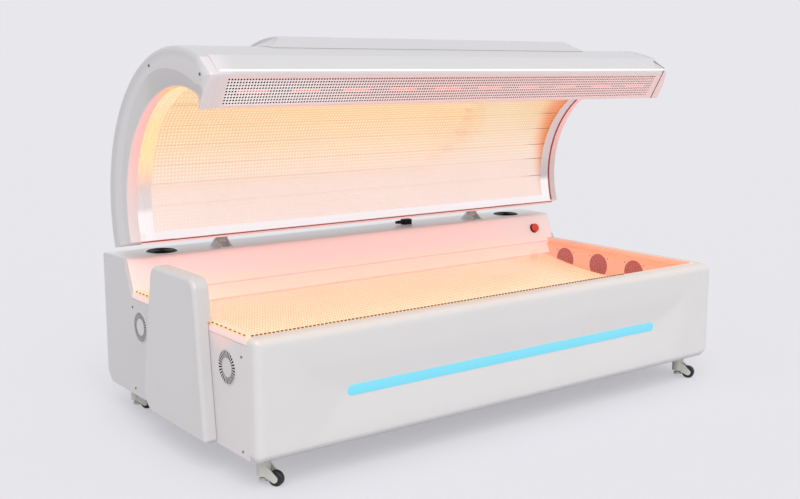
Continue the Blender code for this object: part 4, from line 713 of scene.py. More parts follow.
def front_moulding(node):
    """The soft surface, its edge back to the panel's rear plane, and a hollow behind it."""
    bm = bmesh.new()
    rows = []
    for z in even_steps(FRONT_LOW.z, FRONT_HIGH.z, FRONT_GRID[1]):
        head = row_end(FRONT_LOW.x, z)
        foot = row_end(FRONT_HIGH.x, z)
        row = []
        for flat_x in even_steps(FRONT_LOW.x, FRONT_HIGH.x, FRONT_GRID[0]):
            x = head + (foot - head) * (flat_x - FRONT_LOW.x) / (FRONT_HIGH.x - FRONT_LOW.x)
            over = FRONT_ROLL - min(max(inside_outline(x, z), 0), FRONT_ROLL)
            back = FRONT_ROLL - math.sqrt(FRONT_ROLL ** 2 - over ** 2)
            row.append(bm.verts.new((x, FRONT_LOW.y + back + soft_depth(x, z), z)))
        rows.append(row)
    for row, above in zip(rows, rows[1:]):
        for index in range(len(row) - 1):
            bm.faces.new((row[index], row[index + 1], above[index + 1], above[index])).smooth = True
    outline = rows[0] + [row[-1] for row in rows[1:-1]] + rows[-1][::-1] + [row[0] for row in rows[-2:0:-1]]
    loops = [outline]
    hollow = FRONT_LOW.y + FRONT_SKIN
    for border, y in ((0, FRONT_HIGH.y), (FRONT_BORDER, FRONT_HIGH.y), (FRONT_BORDER, hollow)):
        loop = []
        for corner in outline:
            x = FRONT_MIDDLE.x + (corner.co.x - FRONT_MIDDLE.x) * (1 - border / FRONT_HALF.x)
            z = FRONT_MIDDLE.z + (corner.co.z - FRONT_MIDDLE.z) * (1 - border / FRONT_HALF.z)
            loop.append(bm.verts.new((x, y, z)))
        loops.append(loop)
    loft(bm, loops, smooth=True)
    bm.faces.new(loops[-1])
    mesh = solid_of(bm, node + "_moulding", crease=40)
    new_piece(node + "_moulding", mesh, "base", "white_shell", FRONT_WHITE, replaces=[node])
    print(node, len(rows), "rows of", len(rows[0]), "points")


front_moulding("front_panel")

# %% [markdown]
# ## The canopy's cheeks
# Each end of the canopy is a C-shaped cap of moulded plastic. Its flat face rolls over into the outer skin,
# and more broadly into the lip at the nose, while a wide chamfer falls towards the opening. A bevel has one
# width all along, so this cap is lofted instead: stations run from the skin to the lining, and at each one
# the face is set back by its distance from the skin's edge and by its place on the chamfer.

# %% Outline of a cheek
SKIN_CENTRE = Vector((0, HINGE.y - 0.51005, HINGE.z + 0.17496))
SKIN_RADIUS = 0.560
LIP_TOP = Vector((0, HINGE.y - 0.76607, HINGE.z + 0.64495))
LIP_BOTTOM = Vector((0, HINGE.y - 0.70157, HINGE.z + 0.53395))
NOSE_ROUND, NOSE_PULL = 0.006, 0.4
LIP_SHORT = 0.004
FACE_EDGE, NOSE_EDGE, LIP_EDGE = 0.018, 0.026, 0.003
SKIN_DEGREES = (-17.1, 109)
OPENING_DEGREES = (-18.9, 97)
NOSE_DEGREES = (102.6, 103.0, 103.4)
LIP_DEGREES = (106.5, 110.0)
SKIN_STATIONS, BROW_STATIONS, LIP_STATIONS = 44, 8, 6
NOSE_CHAMFER = 0.062
EDGE_SPREAD = 1.3
EDGE_SHARES = (0, 0.03, 0.11, 0.26, 0.5, 0.77, 1.0)
CHAMFER_STEPS = 3
CHAMFER_SHORT = 0.004
LEAST_FACE = 0.001
OPENING_EDGE = ((0.0012, 0.0012), (0.0, 0.0040))
CHAMFER_WIDTH = ([-19, 30, 62, 72, 88, 97], [0.030, 0.048, 0.082, 0.077, 0.062, 0.056])
CHAMFER_DEPTH = ([-19, 30, 62, 75], [0.003, 0.005, 0.011, 0.014])


def on_circle(centre, radius, degrees):
    """A point of a circle across the bed; its angle starts at the back and rises."""
    turn = math.radians(degrees)
    return centre + radius * Vector((0, math.cos(turn), math.sin(turn)))


def stretch(first, last, count):
    """Even steps from one number or point to another, with both ends."""
    return [first + (last - first) * index / count for index in range(count + 1)]


def cheek_stations():
    """One (skin point, lining point, edge radius, chamfer width, chamfer depth) for each station."""
    skin_end = on_circle(SKIN_CENTRE, SKIN_RADIUS, SKIN_DEGREES[1])
    drop = (LIP_BOTTOM - LIP_TOP).normalized()
    above = LIP_TOP + (skin_end - LIP_TOP).normalized() * NOSE_ROUND
    below = LIP_TOP + drop * NOSE_ROUND
    half = (LIP_TOP + LIP_BOTTOM) / 2
    skin = [on_circle(SKIN_CENTRE, SKIN_RADIUS, angle) for angle in stretch(*SKIN_DEGREES, SKIN_STATIONS)]
    rows = []
    for spot, angle in zip(skin, stretch(*OPENING_DEGREES, SKIN_STATIONS)):
        rows.append((spot, angle, FACE_EDGE, float(np.interp(angle, *CHAMFER_WIDTH))))
    skin_chamfer = rows[-1][3]
    brow = zip(stretch(skin_end, above, BROW_STATIONS),
               stretch(OPENING_DEGREES[1], NOSE_DEGREES[0], BROW_STATIONS),
               stretch(FACE_EDGE, NOSE_EDGE, BROW_STATIONS),
               stretch(skin_chamfer, NOSE_CHAMFER, BROW_STATIONS))
    rows += list(brow)[1:]
    flat = (above + below) / 2
    rows.append((flat + (LIP_TOP - flat) * NOSE_PULL, NOSE_DEGREES[1], NOSE_EDGE, NOSE_CHAMFER))
    for spot, share in zip(stretch(below, half, BROW_STATIONS), stretch(0, 1, BROW_STATIONS)):
        whole = (spot - on_circle(LINING_CENTRE, LINING_RADIUS, LIP_DEGREES[0])).length
        width = NOSE_CHAMFER + (whole - NOSE_CHAMFER) * share
        angle = NOSE_DEGREES[2] + (LIP_DEGREES[0] - NOSE_DEGREES[2]) * share
        rows.append((spot, angle, NOSE_EDGE + (LIP_EDGE - NOSE_EDGE) * share, width))
    lip = zip(stretch(half, LIP_BOTTOM - drop * LIP_SHORT, LIP_STATIONS), stretch(*LIP_DEGREES, LIP_STATIONS))
    rows += [(spot, angle, LIP_EDGE, 1.0) for spot, angle in list(lip)[1:]]
    stations = []
    for spot, angle, radius, width in rows:
        lining = on_circle(LINING_CENTRE, LINING_RADIUS, angle)
        depth = float(np.interp(angle, *CHAMFER_DEPTH))
        stations.append((spot, lining, radius, min(width, (lining - spot).length), depth))
    return stations


CHEEK_STATIONS = cheek_stations()
print(len(CHEEK_STATIONS), "stations round a cheek")


# %% Cheek caps
SKIN, NOSE, WALL, CHAMFER = 1, 2, 3, 4
SKIN_BANDS = 3


def edge_distance(spot, outline):
    """How far a point lies from a line of points."""
    nearest = 1.0
    for first, last in zip(outline, outline[1:]):
        along = last - first
        share = min(1.0, max(0.0, (spot - first).dot(along) / along.length_squared))
        nearest = min(nearest, (spot - first - along * share).length)
    return nearest


def cheek_cap(end):
    """A lofted cheek: its face, skin and nose are white, the chamfer is painted shade, and the opening's wall
    is white painted with pink lamp light.
    """
    name = "canopy_cheek_" + end
    low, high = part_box(name)
    face, back, inward = (low.x, high.x, 1) if end == "head" else (high.x, low.x, -1)
    outline = [station[0] for station in CHEEK_STATIONS]
    bm = bmesh.new()
    rings = []
    for skin, lining, radius, width, depth in CHEEK_STATIONS:
        length = (lining - skin).length
        across = (lining - skin) / length
        places = [EDGE_SPREAD * radius * share for share in EDGE_SHARES]
        begin = max(length - width, places[-1] + LEAST_FACE)
        places += stretch(begin, length - CHAMFER_SHORT, CHAMFER_STEPS)
        ring = [bm.verts.new(skin + ALONG * back)]
        for place in places:
            spot = skin + across * place
            short = max(0.0, radius - edge_distance(spot, outline))
            rolled = radius - math.sqrt(max(0.0, radius ** 2 - short ** 2))
            fallen = depth * max(0.0, (place - (length - width)) / width)
            ring.append(bm.verts.new(spot + ALONG * (face + inward * max(rolled, fallen))))
        for gap, sunk in OPENING_EDGE:
            ring.append(bm.verts.new(lining - across * gap + ALONG * (face + inward * (depth + sunk))))
        ring.append(bm.verts.new(lining + ALONG * back))
        rings.append(ring)
    sides = len(rings[0])
    chamfer = 1 + len(EDGE_SHARES)
    wall = sides - 1 - len(OPENING_EDGE)
    for number, made in enumerate(loft(bm, rings, smooth=True)):
        station, index = divmod(number, sides)
        if index < SKIN_BANDS:
            made.material_index = SKIN if station <= SKIN_STATIONS else NOSE
        elif index in (wall, wall + 1):
            made.material_index = WALL
        elif chamfer <= index < wall:
            made.material_index = CHAMFER
    for ring in (rings[0], rings[-1]):
        made = bm.faces.new(ring)
        made.material_index = WALL
        made.smooth = True
    mesh = solid_of(bm, name + "_cap", crease=32)
    new_piece(name + "_cap", mesh, "canopy", "white_shell", CHEEK_WHITE, CANOPY_WHITE, LIP_WHITE, CHEEK_LAMPLIGHT,
              CHAMFER_SHADE, replaces=[name])
    print(name, len(mesh.polygons), "faces")


for end in ("head", "foot"):
    cheek_cap(end)

# %% [markdown]
# ## CAD nodes that stay
# Casters, fans, the chassis, the boards and the clear sheets are right as they are. Each takes its finish by
# assigning it to the node's material slots.

# %% Finishes on CAD nodes
KEPT = {
    HEAD_TRIM: ["arc_trim_head"],
    FOOT_TRIM: ["arc_trim_foot"],
    BOTTOM_TRIM: ["bottom_trim"],
    STEEL_PIN: ["hinge_pin_head", "hinge_pin_foot"],
    SHEET_METAL: ["bottom_tray", "led_driver"],
    HINGE_PAINT: ["hinge_bracket_head", "hinge_bracket_foot", "hinge_leaf_head", "hinge_leaf_foot"],
    FRAME_PAINT: ["chassis_frame"],
    CLEAR_SHEET: ["bed_acrylic_sheet"],
    CLEAR_COVER: ["canopy_acrylic"],
    CANOPY_BOARD: ["canopy_led_carrier"],
    BED_BOARD: ["bed_led_tray"],
    TUB_GLOW: ["tub_liner"],
    VENT_RED_GLOW: ["foot_vent_1", "foot_vent_2", "foot_vent_3"],
    STOP_RED: ["estop_button"],
    BLACK: ["speaker_head", "speaker_foot", "estop_base", "cable_block", "cable_gland", "power_inlet",
            "fan_frame_front", "fan_frame_rear", "fan_rotor_front", "fan_rotor_rear"],
    # Painted shade: the light bar behind the grille is dead black.
    SHADE_BLACK: ["lip_light_bar"],
}
for row in ("front", "rear"):
    for end in ("head", "foot"):
        KEPT.setdefault(CAST_CREAM, []).append(f"caster_body_{row}_{end}")
        KEPT.setdefault(TYRE, []).append(f"caster_wheel_{row}_{end}")
        KEPT.setdefault(PAD_RUBBER, []).append(f"caster_pad_{row}_{end}")
for finish, names in KEPT.items():
    for name in names:
        NODES[name].data.materials.clear()
        NODES[name].data.materials.append(finish)
print("finished", sum(len(names) for names in KEPT.values()), "CAD nodes")

# %% [markdown]
# ## Slotted vents
# The head end breathes through two round grilles, each pressed with a ring of narrow radial slots round a
# plain middle. The slots are what one sees, so they are real: the disc is built sector by sector, a rib at
# the level of the face and then a slot with its own walls and floor, both painted black as shade.

# %% Radial grilles
SLOTS = 30
SLOT_SHARE = 0.50
SLOT_INNER = 0.53
SLOT_OUTER = 0.915
SLOT_DEPTH = 0.0060
SLOT_FACE = 0.0004
DOME_SHARE = 0.955
SPIGOT_SHARE = 0.935
FLANGE = 0.0025


def radial_grille(node):
    """A grille in place of a vent: dome, ribs, slots and the spigot that sits in the panel."""
    low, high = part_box(node)
    middle = (low + high) / 2
    radius = (high.z - low.z) / 2
    angles = [360 * (index + edge) / SLOTS for index in range(SLOTS) for edge in (0, SLOT_SHARE)]
    face = low.x + SLOT_FACE
    flange = low.x + FLANGE
    profile = [(SLOT_INNER, face), (SLOT_OUTER, face), (DOME_SHARE, low.x), (1.0, flange),
               (SPIGOT_SHARE, flange), (SPIGOT_SHARE, high.x)]
    bm = bmesh.new()
    rings = []
    for share, x in profile:
        centre = Vector((x, middle.y, middle.z))
        rings.append([bm.verts.new(on_circle(centre, share * radius, angle)) for angle in angles])
    hub = bm.verts.new((low.x, middle.y, middle.z))
    count = len(angles)
    for index in range(count):
        after = (index + 1) % count
        bm.faces.new((hub, rings[0][index], rings[0][after]))
        for ring, outer in zip(rings[1:], rings[2:]):
            bm.faces.new((ring[index], outer[index], outer[after], ring[after]))
        corners = [rings[0][index], rings[1][index], rings[1][after], rings[0][after]]
        if index % 2:
            bm.faces.new(corners)
            continue
        # Painted shade: the slot's floor and walls are dead black.
        floor = [bm.verts.new(corner.co + ALONG * SLOT_DEPTH) for corner in corners]
        bm.faces.new(floor).material_index = 1
        for wall in loft(bm, [corners, floor]):
            wall.material_index = 1
    bm.faces.new(rings[-1])
    mesh = solid_of(bm, node + "_slotted")
    new_piece(node + "_slotted", mesh, "base", "vent_grille", GRILLE_GREY, SHADE_BLACK, replaces=[node])
    print(node, SLOTS, "slots")


for place in ("front", "rear"):
    radial_grille("head_vent_" + place)

# %% [markdown]
# ## The blue strip
# A long diffuser glows in the valley of the front. It is a bar with round ends and a slightly crowned face
# that laps over the edges of its opening, so each ring of the loft is the same rounded outline, smaller and
# further out than the last.

# %% Diffuser strip
STRIP_RINGS = [(0.0110, 0.0), (0.0110, -0.0072), (0.0175, -0.0080), (0.0175, -0.0100), (0.0165, -0.0115),
               (0.0140, -0.0121)]
STRIP_SIDES = 12


def diffuser(node):
    """A round-ended bar in place of the CAD strip, from its foot in the opening to its crown."""
    low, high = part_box(node)
    middle = (low + high) / 2
    half = (high.x - low.x) / 2 - STRIP_RINGS[2][0]
    bm = bmesh.new()
    rings = []
    for reach, out in STRIP_RINGS:
        ring = []
        for side in (1, -1):
            for index in range(STRIP_SIDES + 1):
                angle = math.pi * (index / STRIP_SIDES - 0.5)
                away = Vector((side * (half + reach * math.cos(angle)), 0, side * reach * math.sin(angle)))
                ring.append(bm.verts.new(Vector((middle.x, high.y + out, middle.z)) + away))
        rings.append(ring)
    loft(bm, rings, smooth=True)
    bm.faces.new(rings[0][::-1])
    bm.faces.new(rings[-1])
    mesh = solid_of(bm, node + "_diffuser", crease=50)
    new_piece(node + "_diffuser", mesh, "base", "blue_diffuser", BLUE_GLOW, replaces=[node])
    print(node, round(high.x - low.x, 3), "m long")


diffuser("front_light_strip")

# %% [markdown]
# ## Rows of light chips
# The boards carry thousands of light chips in an even grid. Each chip is a low block with sloped sides,
# standing on the board. The boards are flat strips set at angles to each other, so the code first finds
# those flats in the CAD mesh, by the faces that look towards the lamp's own middle, and then fills each
# flat with rows and columns. One mesh holds all chips of a board.

# %% Flats of a board
CHIP_PITCH = 0.0137
CHIP_FOOT = 0.0056
CHIP_TOP = 0.0044
CHIP_HEIGHT = 0.0012
CANOPY_MARGIN, BED_MARGIN = 0.030, 0.012
ABOVE_BED = Vector((0, -0.10, 2.0))
BED_ROWS, BED_COLUMNS = 1.4 * CHIP_PITCH, 0.8 * CHIP_PITCH
SIDEWAYS, FACING = 0.1, 0.5


def flats_towards(node, hub):
    """The flats of a node that look at a point: (corner, length, way across, width, normal) of each."""
    found = {}
    for face in NODES[node].data.polygons:
        normal = face.normal
        towards = Vector((0, hub.y - face.center.y, hub.z - face.center.z))
        if abs(normal.x) < SIDEWAYS and normal.dot(towards) > FACING * towards.length:
            key = tuple(round(value, 2) for value in normal)
            corners = [NODES[node].data.vertices[index].co for index in face.vertices]
            found.setdefault(key, (normal.copy(), []))[1].extend(corners)
    flats = []
    for normal, corners in found.values():
        up = ALONG.cross(normal).normalized()
        lowest = min(corners, key=lambda corner: corner.dot(up))
        width = max(corner.dot(up) for corner in corners) - lowest.dot(up)
        left = min(corner.x for corner in corners)
        right = max(corner.x for corner in corners)
        flats.append((Vector((left, lowest.y, lowest.z)), right - left, up, width, normal))
    return flats


def chip_grid(name, flats, body, finish, end_margin, row_pitch, column_pitch):
    """Rows of low blocks with sloped sides on each flat."""
    corners = np.array([(-1, -1), (1, -1), (1, 1), (-1, 1)], float)
    vertices = []
    faces = []
    for corner, length, up, width, normal in flats:
        rows = max(1, round(width / row_pitch))
        columns = round((length - 2 * end_margin) / column_pitch)
        along = end_margin + (np.arange(columns) + 0.5) * (length - 2 * end_margin) / columns
        across = (np.arange(rows) + 0.5) * width / rows
        grid = np.array([(x, y) for y in across for x in along])
        chips = []
        for size, lift in ((CHIP_FOOT, 0.0), (CHIP_TOP, CHIP_HEIGHT)):
            for offset in corners:
                spot = grid + offset * size / 2
                made = np.array(corner) + np.outer(spot[:, 0], ALONG) + np.outer(spot[:, 1], up)
                chips.append(made + lift * np.array(normal))
        base = len(vertices)
        vertices.extend(map(tuple, np.stack(chips, axis=1).reshape(-1, 3)))
        for first in range(base, len(vertices), 8):
            faces.append(tuple(range(first + 4, first + 8)))
            faces.append(tuple(range(first + 3, first - 1, -1)))
            for side in range(first, first + 4):
                following = first + (side - first + 1) % 4
                faces.append((side, following, following + 4, side + 4))
    mesh = bpy.data.meshes.new(name)
    mesh.from_pydata(vertices, [], faces)
    new_piece(name, mesh, body, "led_board", finish)
    print(name, len(vertices) // 8, "chips on", len(flats), "flats")


CANOPY_FLATS = flats_towards("canopy_led_carrier", LINING_CENTRE)
chip_grid("canopy_chips", CANOPY_FLATS, "canopy", CHIP_CANOPY, CANOPY_MARGIN, CHIP_PITCH, CHIP_PITCH)
BED_FLATS = flats_towards("bed_led_tray", ABOVE_BED)
chip_grid("bed_chips", BED_FLATS, "base", CHIP_BED, BED_MARGIN, BED_ROWS, BED_COLUMNS)

# %% [markdown]
# ## The perforated lip
# The lip's grille is a sheet punched with rows of round holes, and red lamps show through it as a line
# of dashes. Real holes are worth their faces here, because the lamps are seen through them. Each hole gets
# a cell of its own: an eight-sided hole in a square, joined to the next cell at its edges.

# %% Perforated sheet
HOLE_PITCH = 0.0105
HOLE_SHARE = 0.80
HOLE_SIDES = 8


def perforated(name, middle, along, up, out, length, tall, thickness):
    """A flat sheet with an even grid of holes, from its middle on its back face."""
    columns = round(length / HOLE_PITCH)
    rows = round(tall / HOLE_PITCH)
    step = Vector((length / columns, tall / rows))
    radius = min(step) * HOLE_SHARE / 2
    square = [(1, 0), (1, 1), (0, 1), (-1, 1), (-1, 0), (-1, -1), (0, -1), (1, -1)]
    bm = bmesh.new()
    for row in range(rows):
        for column in range(columns):
            x = (column + 0.5) * step.x - length / 2
            y = (row + 0.5) * step.y - tall / 2
            rings = []
            for depth in (thickness, 0.0):
                edge = []
                hole = []
                for index, (side_x, side_y) in enumerate(square):
                    angle = 2 * math.pi * index / HOLE_SIDES
                    outer = (x + side_x * step.x / 2, y + side_y * step.y / 2)
                    inner = (x + radius * math.cos(angle), y + radius * math.sin(angle))
                    for ring, spot in ((edge, outer), (hole, inner)):
                        ring.append(bm.verts.new(middle + along * spot[0] + up * spot[1] + out * depth))
                rings += [edge, hole]
            edge, hole, back_edge, back_hole = rings
            loft(bm, [edge, hole, back_hole, back_edge])
    bmesh.ops.remove_doubles(bm, verts=bm.verts, dist=SAME_CORNER)
    outline = [side for side in bm.edges if len(side.link_faces) == 1]
    bmesh.ops.bridge_loops(bm, edges=outline)
    print(name, columns, "x", rows, "holes")
    return solid_of(bm, name)


LIP_UP = Vector((0, -0.0645, 0.1110)).normalized()
LIP_OUT = Vector((0, -LIP_UP.z, LIP_UP.y))
grille_x = span("lip_grille", ALONG)
grille_up = span("lip_grille", LIP_UP)
grille_out = span("lip_grille", LIP_OUT)
middle = ALONG * sum(grille_x) / 2 + LIP_UP * sum(grille_up) / 2 + LIP_OUT * grille_out[0]
sheet = perforated("lip_perforated", middle, ALONG, LIP_UP, LIP_OUT, grille_x[1] - grille_x[0],
                   grille_up[1] - grille_up[0], grille_out[1] - grille_out[0])
new_piece("lip_perforated", sheet, "canopy", "grille_plate", PUNCHED_WHITE, replaces=["lip_grille"])

# %% Dashes of light behind the lip
DASHES = 10
DASH = (0.110, 0.012, 0.0002)


def bars(name, body, slot, finish, places):
    """One piece of straight bars along the bed: each has its ends, middle, two cross directions and size."""
    bm = bmesh.new()
    for x_range, middle, up, out, size in places:
        turn = Matrix((ALONG, up, out)).transposed().to_4x4()
        centre = ALONG * sum(x_range) / 2 + middle
        shape = Matrix.Diagonal((x_range[1] - x_range[0], *size, 1))
        bmesh.ops.create_cube(bm, size=1, matrix=Matrix.Translation(centre) @ turn @ shape)
    new_piece(name, mesh_of(bm, name), body, slot, finish)


def lip_bar(x_range, up, out, size):
    """A bar that lies on the lip's face: how far up the lip and out of it, and its size."""
    return x_range, LIP_UP * up + LIP_OUT * out, LIP_UP, LIP_OUT, size


bar_face = span("lip_light_bar", LIP_OUT)[1]
bar_low, bar_high = span("lip_light_bar", LIP_UP)
dashes = []
for index in range(DASHES):
    place = grille_x[0] + (index + 0.5) / DASHES * (grille_x[1] - grille_x[0])
    ends = (place - DASH[0] / 2, place + DASH[0] / 2)
    dashes.append(lip_bar(ends, (bar_low + bar_high) / 2, bar_face, DASH[1:]))
bars("lip_dashes", "canopy", "led_board", DASH_GLOW, dashes)
print(DASHES, "dashes behind the grille")

# %% Painted shade behind the grille, the lip's painted highlight and its end seam
SHADE_SHEET_DEPTH, SHADE_SHEET_THICK = 0.003, 0.001
SHADE_SHEET_MARGIN, SHADE_SHEET_GAP = 0.001, 0.0003
EDGE_BAR, EDGE_DROP = (0.006, 0.0012), 0.0035
SEAM_ENDS = (0.004, 0.0005)
SEAM_LIFT, SEAM_SHORT = 0.0004, 0.004
FACE_SEAM, TOP_SEAM = 0.0008, 0.0012
# Painted shade: black sheets above and below the light bar darken the grille's holes.
inside = (grille_x[0] + SHADE_SHEET_MARGIN, grille_x[1] - SHADE_SHEET_MARGIN)
shade_sheets = []
for low, high in ((grille_up[0], bar_low - SHADE_SHEET_GAP), (bar_high + SHADE_SHEET_GAP, grille_up[1])):
    size = (high - low - SHADE_SHEET_MARGIN, SHADE_SHEET_THICK)
    shade_sheets.append(lip_bar(inside, (low + high) / 2, bar_face - SHADE_SHEET_DEPTH, size))
bars("lip_shade_sheets", "canopy", "grille_plate", SHADE_BLACK, shade_sheets)

lip_x = span("canopy_lip", ALONG)
lip_bottom, lip_top = span("canopy_lip", LIP_UP)
lip_face = span("canopy_lip", LIP_OUT)[1]
# Painted highlight: a bright strip along the lip's top edge.
bars("lip_edge_highlight", "canopy", "white_shell", EDGE_HIGHLIGHT,
     [lip_bar(lip_x, lip_top - EDGE_DROP, lip_face + EDGE_BAR[1] / 2, EDGE_BAR)])

foot_seam = (lip_x[1] - SEAM_ENDS[0], lip_x[1] - SEAM_ENDS[1])
brow = LIP_UP * lip_top + LIP_OUT * lip_face
shell_end = Vector((0, HINGE.y - 0.69237, HINGE.z + 0.70445))
back = (shell_end - brow).normalized()
over = back.cross(ALONG)
face_size = (lip_top - lip_bottom - SEAM_SHORT, FACE_SEAM)
top_size = ((shell_end - brow).length, TOP_SEAM)
bars("lip_end_seam", "canopy", "black_plastic", BLACK, [
    lip_bar(foot_seam, (lip_bottom + lip_top) / 2, lip_face + SEAM_LIFT, face_size),
    (foot_seam, (brow + shell_end) / 2 + over * SEAM_LIFT, back, over, top_size)])
print("lip dressed along", round(lip_x[1] - lip_x[0], 3), "m")

# %% [markdown]
# ## Bands and seams round the lining
# Polished bands hold the clear lining at both ends. A band is the solid between two radii, swept round the
# lining's own centre, so one function makes bands of any width. A thin red line shows outside the band at
# the foot and under the bottom trim, where the light escapes between trim and shell, and narrower dark
# lines show where one board meets the next.

# %% Bands and seams
BAND_WIDTH = 0.030
BAND_RADII = (LINING_RADIUS - 0.0004, LINING_RADIUS + 0.0024)
SEAM = 0.0036
FOOT_SEAM = 1.8 * SEAM
SEAM_RADII = (LINING_RADIUS - 0.0022, LINING_RADIUS - 0.0003)
BAND_DEGREES = (-18.4, 107.5)
BAND_STEPS = 72
SHELL_BAR = (0.0036, 0.0070)
SHELL_BACK = 0.0004
BOARD_GAP = (0.0026, 0.0014)
BOARD_ANGLES = [38.0, 27.9, 17.7, 7.4, -2.9]


def arc_band(name, x_range, radii, slot, finish):
    """The solid between two radii round the lining."""
    bm = bmesh.new()
    rings = []
    for angle in stretch(*BAND_DEGREES, BAND_STEPS):
        away = on_circle(Vector(), 1, angle)
        corners = [(end, radii[1]) for end in x_range] + [(end, radii[0]) for end in x_range[::-1]]
        rings.append([bm.verts.new(ALONG * x + LINING_CENTRE + away * radius) for x, radius in corners])
    loft(bm, rings)
    bm.faces.new(rings[0][::-1])
    bm.faces.new(rings[-1])
    new_piece(name, solid_of(bm, name), "canopy", slot, finish)


inner_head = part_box("arc_trim_head")[1].x
foot_low, foot_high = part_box("arc_trim_foot")
head_band = (inner_head, inner_head + BAND_WIDTH)
foot_band = (foot_low.x - BAND_WIDTH, foot_low.x)
arc_band("arc_band_head", head_band, BAND_RADII, "polished_aluminium", HEAD_TRIM)
arc_band("arc_band_foot", foot_band, BAND_RADII, "polished_aluminium", FOOT_TRIM)
arc_band("seam_foot", (foot_high.x - FOOT_SEAM, foot_high.x), SEAM_RADII, "led_board", SEAM_RED)

trim_x = span("bottom_trim", ALONG)
lining_edge = on_circle(LINING_CENTRE, LINING_RADIUS, OPENING_DEGREES[0])
bars("seam_bottom", "canopy", "led_board", SEAM_RED,
     [(trim_x, Vector((0, lining_edge.y, lining_edge.z - SEAM)), ACROSS, UP, (SEAM, SEAM))])
# Painted pink lamp light: a strip of the shell's edge below the red line.
shell_height = lining_edge.z - 1.5 * SEAM - SHELL_BAR[1] / 2
bars("shell_edge_glow", "canopy", "white_shell", SHELL_EDGE_GLOW,
     [(trim_x, Vector((0, lining_edge.y + SHELL_BACK, shell_height)), ACROSS, UP, SHELL_BAR)])

seams = []
for angle in BOARD_ANGLES:
    ray = on_circle(Vector(), 1, angle)
    corner, length, up, width, normal = min(CANOPY_FLATS, key=lambda flat: (flat[4] + ray).length)
    first = Vector((0, corner.y, corner.z))
    meeting = LINING_CENTRE + ray * ((first - LINING_CENTRE).dot(normal) / ray.dot(normal))
    row = width / round(width / CHIP_PITCH)
    spot = first + up * row * round((meeting - first).dot(up) / row)
    inside = (corner.x + BAND_WIDTH, corner.x + length - BAND_WIDTH)
    seams.append((inside, spot + normal * BOARD_GAP[1] / 2, up, normal, BOARD_GAP))
bars("board_seams", "canopy", "led_board", BOARD_SEAM, seams)
print("bands", BAND_WIDTH, "m wide, and", len(BOARD_ANGLES), "board seams")

# %% [markdown]
# ## Beads along the sheet
# A line of small dashes runs along the front edge of the clear sheet, most of the way to the foot, and a
# brighter one along the head edge. They are the edge lights of the sheet. Each is a small block on top of
# the rim, repeated at an even step. A soft seal closes the sheet at the back.

# %% Edge beads
BEAD = (0.0085, 0.0032, 0.0036)
BEAD_STEP = 0.0145
FRONT_BEADS_END = 0.62
HEAD_BEADS_END = 0.300
BEAD_INSET = 0.0065
BEAD_GAP = 0.0030
BEAD_CORNER = 0.009
SEAL, SEAL_LAP, SEAL_SHORT = 0.004, 0.001, 0.002
NEAR_TOP = 0.001
rim_top = [vertex.co for vertex in NODES["bed_rim"].data.vertices if vertex.co.z > RIM_HIGH.z - NEAR_TOP]
opening_front = sorted({round(spot.y, 4) for spot in rim_top})[1]


def bead_row(name, first, last, turned, finish, skip=None):
    """A row of small blocks from one point to another on the rim; skip 0 or 1 leaves out every second one."""
    bm = bmesh.new()
    count = int((last - first).length / BEAD_STEP)
    size = (BEAD[1], BEAD[0], BEAD[2], 1) if turned else (*BEAD, 1)
    for index in range(count):
        if index % 2 != skip:
            spot = first.lerp(last, (index + 0.5) / count)
            bmesh.ops.create_cube(bm, size=1, matrix=Matrix.Translation(spot) @ Matrix.Diagonal(size))
    new_piece(name, mesh_of(bm, name), "base", "led_board", finish)
    print(name, count, "beads")


bead_height = RIM_HIGH.z + BEAD[2] / 2
bead_front = opening_front - BEAD[1] / 2 - BEAD_GAP
bead_head = RIM_LOW.x + BEAD_INSET
front_row = (Vector((bead_head + BEAD_CORNER, bead_front, bead_height)),
             Vector((FRONT_BEADS_END, bead_front, bead_height)))
head_row = (Vector((bead_head, opening_front + BEAD_CORNER, bead_height)),
            Vector((bead_head, HEAD_BEADS_END, bead_height)))
bead_row("beads_front", *front_row, False, BEAD_AMBER)
bead_row("beads_head", *head_row, True, BEAD_YELLOW, skip=0)
bead_row("beads_head_dark", *head_row, True, BEAD_AMBER, skip=1)

sheet_low, sheet_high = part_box("bed_acrylic_sheet")
# The seal's pink glow is painted lamp light.
seal_middle = Vector((0, sheet_high.y - SEAL_LAP, sheet_high.z + SEAL / 2))
bars("sheet_seal", "base", "lit_wall", SEAL_GLOW,
     [((sheet_low.x + SEAL_SHORT, sheet_high.x - SEAL_SHORT), seal_middle, ACROSS, UP, (SEAL, SEAL))])
print("seal along", round(sheet_high.x - sheet_low.x, 3), "m")

# %% [markdown]
# ## Screws
# The end panels and the canopy's cheeks are held by small dark screws, and the round foot vents too. A
# screw head is a revolve: one profile from the socket in its middle to its rim, turned about the screw's
# own axis.

# %% Screw heads
SCREW_PROFILE = [(0.40, 0.25), (0.45, 0.62), (0.80, 0.52), (1.0, 0.15), (1.0, 0.0)]
SCREW_SIDES = 12
PANEL_SCREW, CHEEK_SCREW, VENT_SCREW = 0.0042, 0.0050, 0.0028
PANEL_SCREWS = [(0.320, 0.429), (0.321, 0.126), (-0.491, 0.420), (-0.488, 0.120)]
CHEEK_SCREWS = [(0.099, 1.286), (-0.272, 1.260)]
VENT_PLUG = 0.0026
VENT_SCREW_GAP = 0.013
VENT_SCREW_DEGREES = (35, 145)
HEADWARD = Vector((-1, 0, 0))


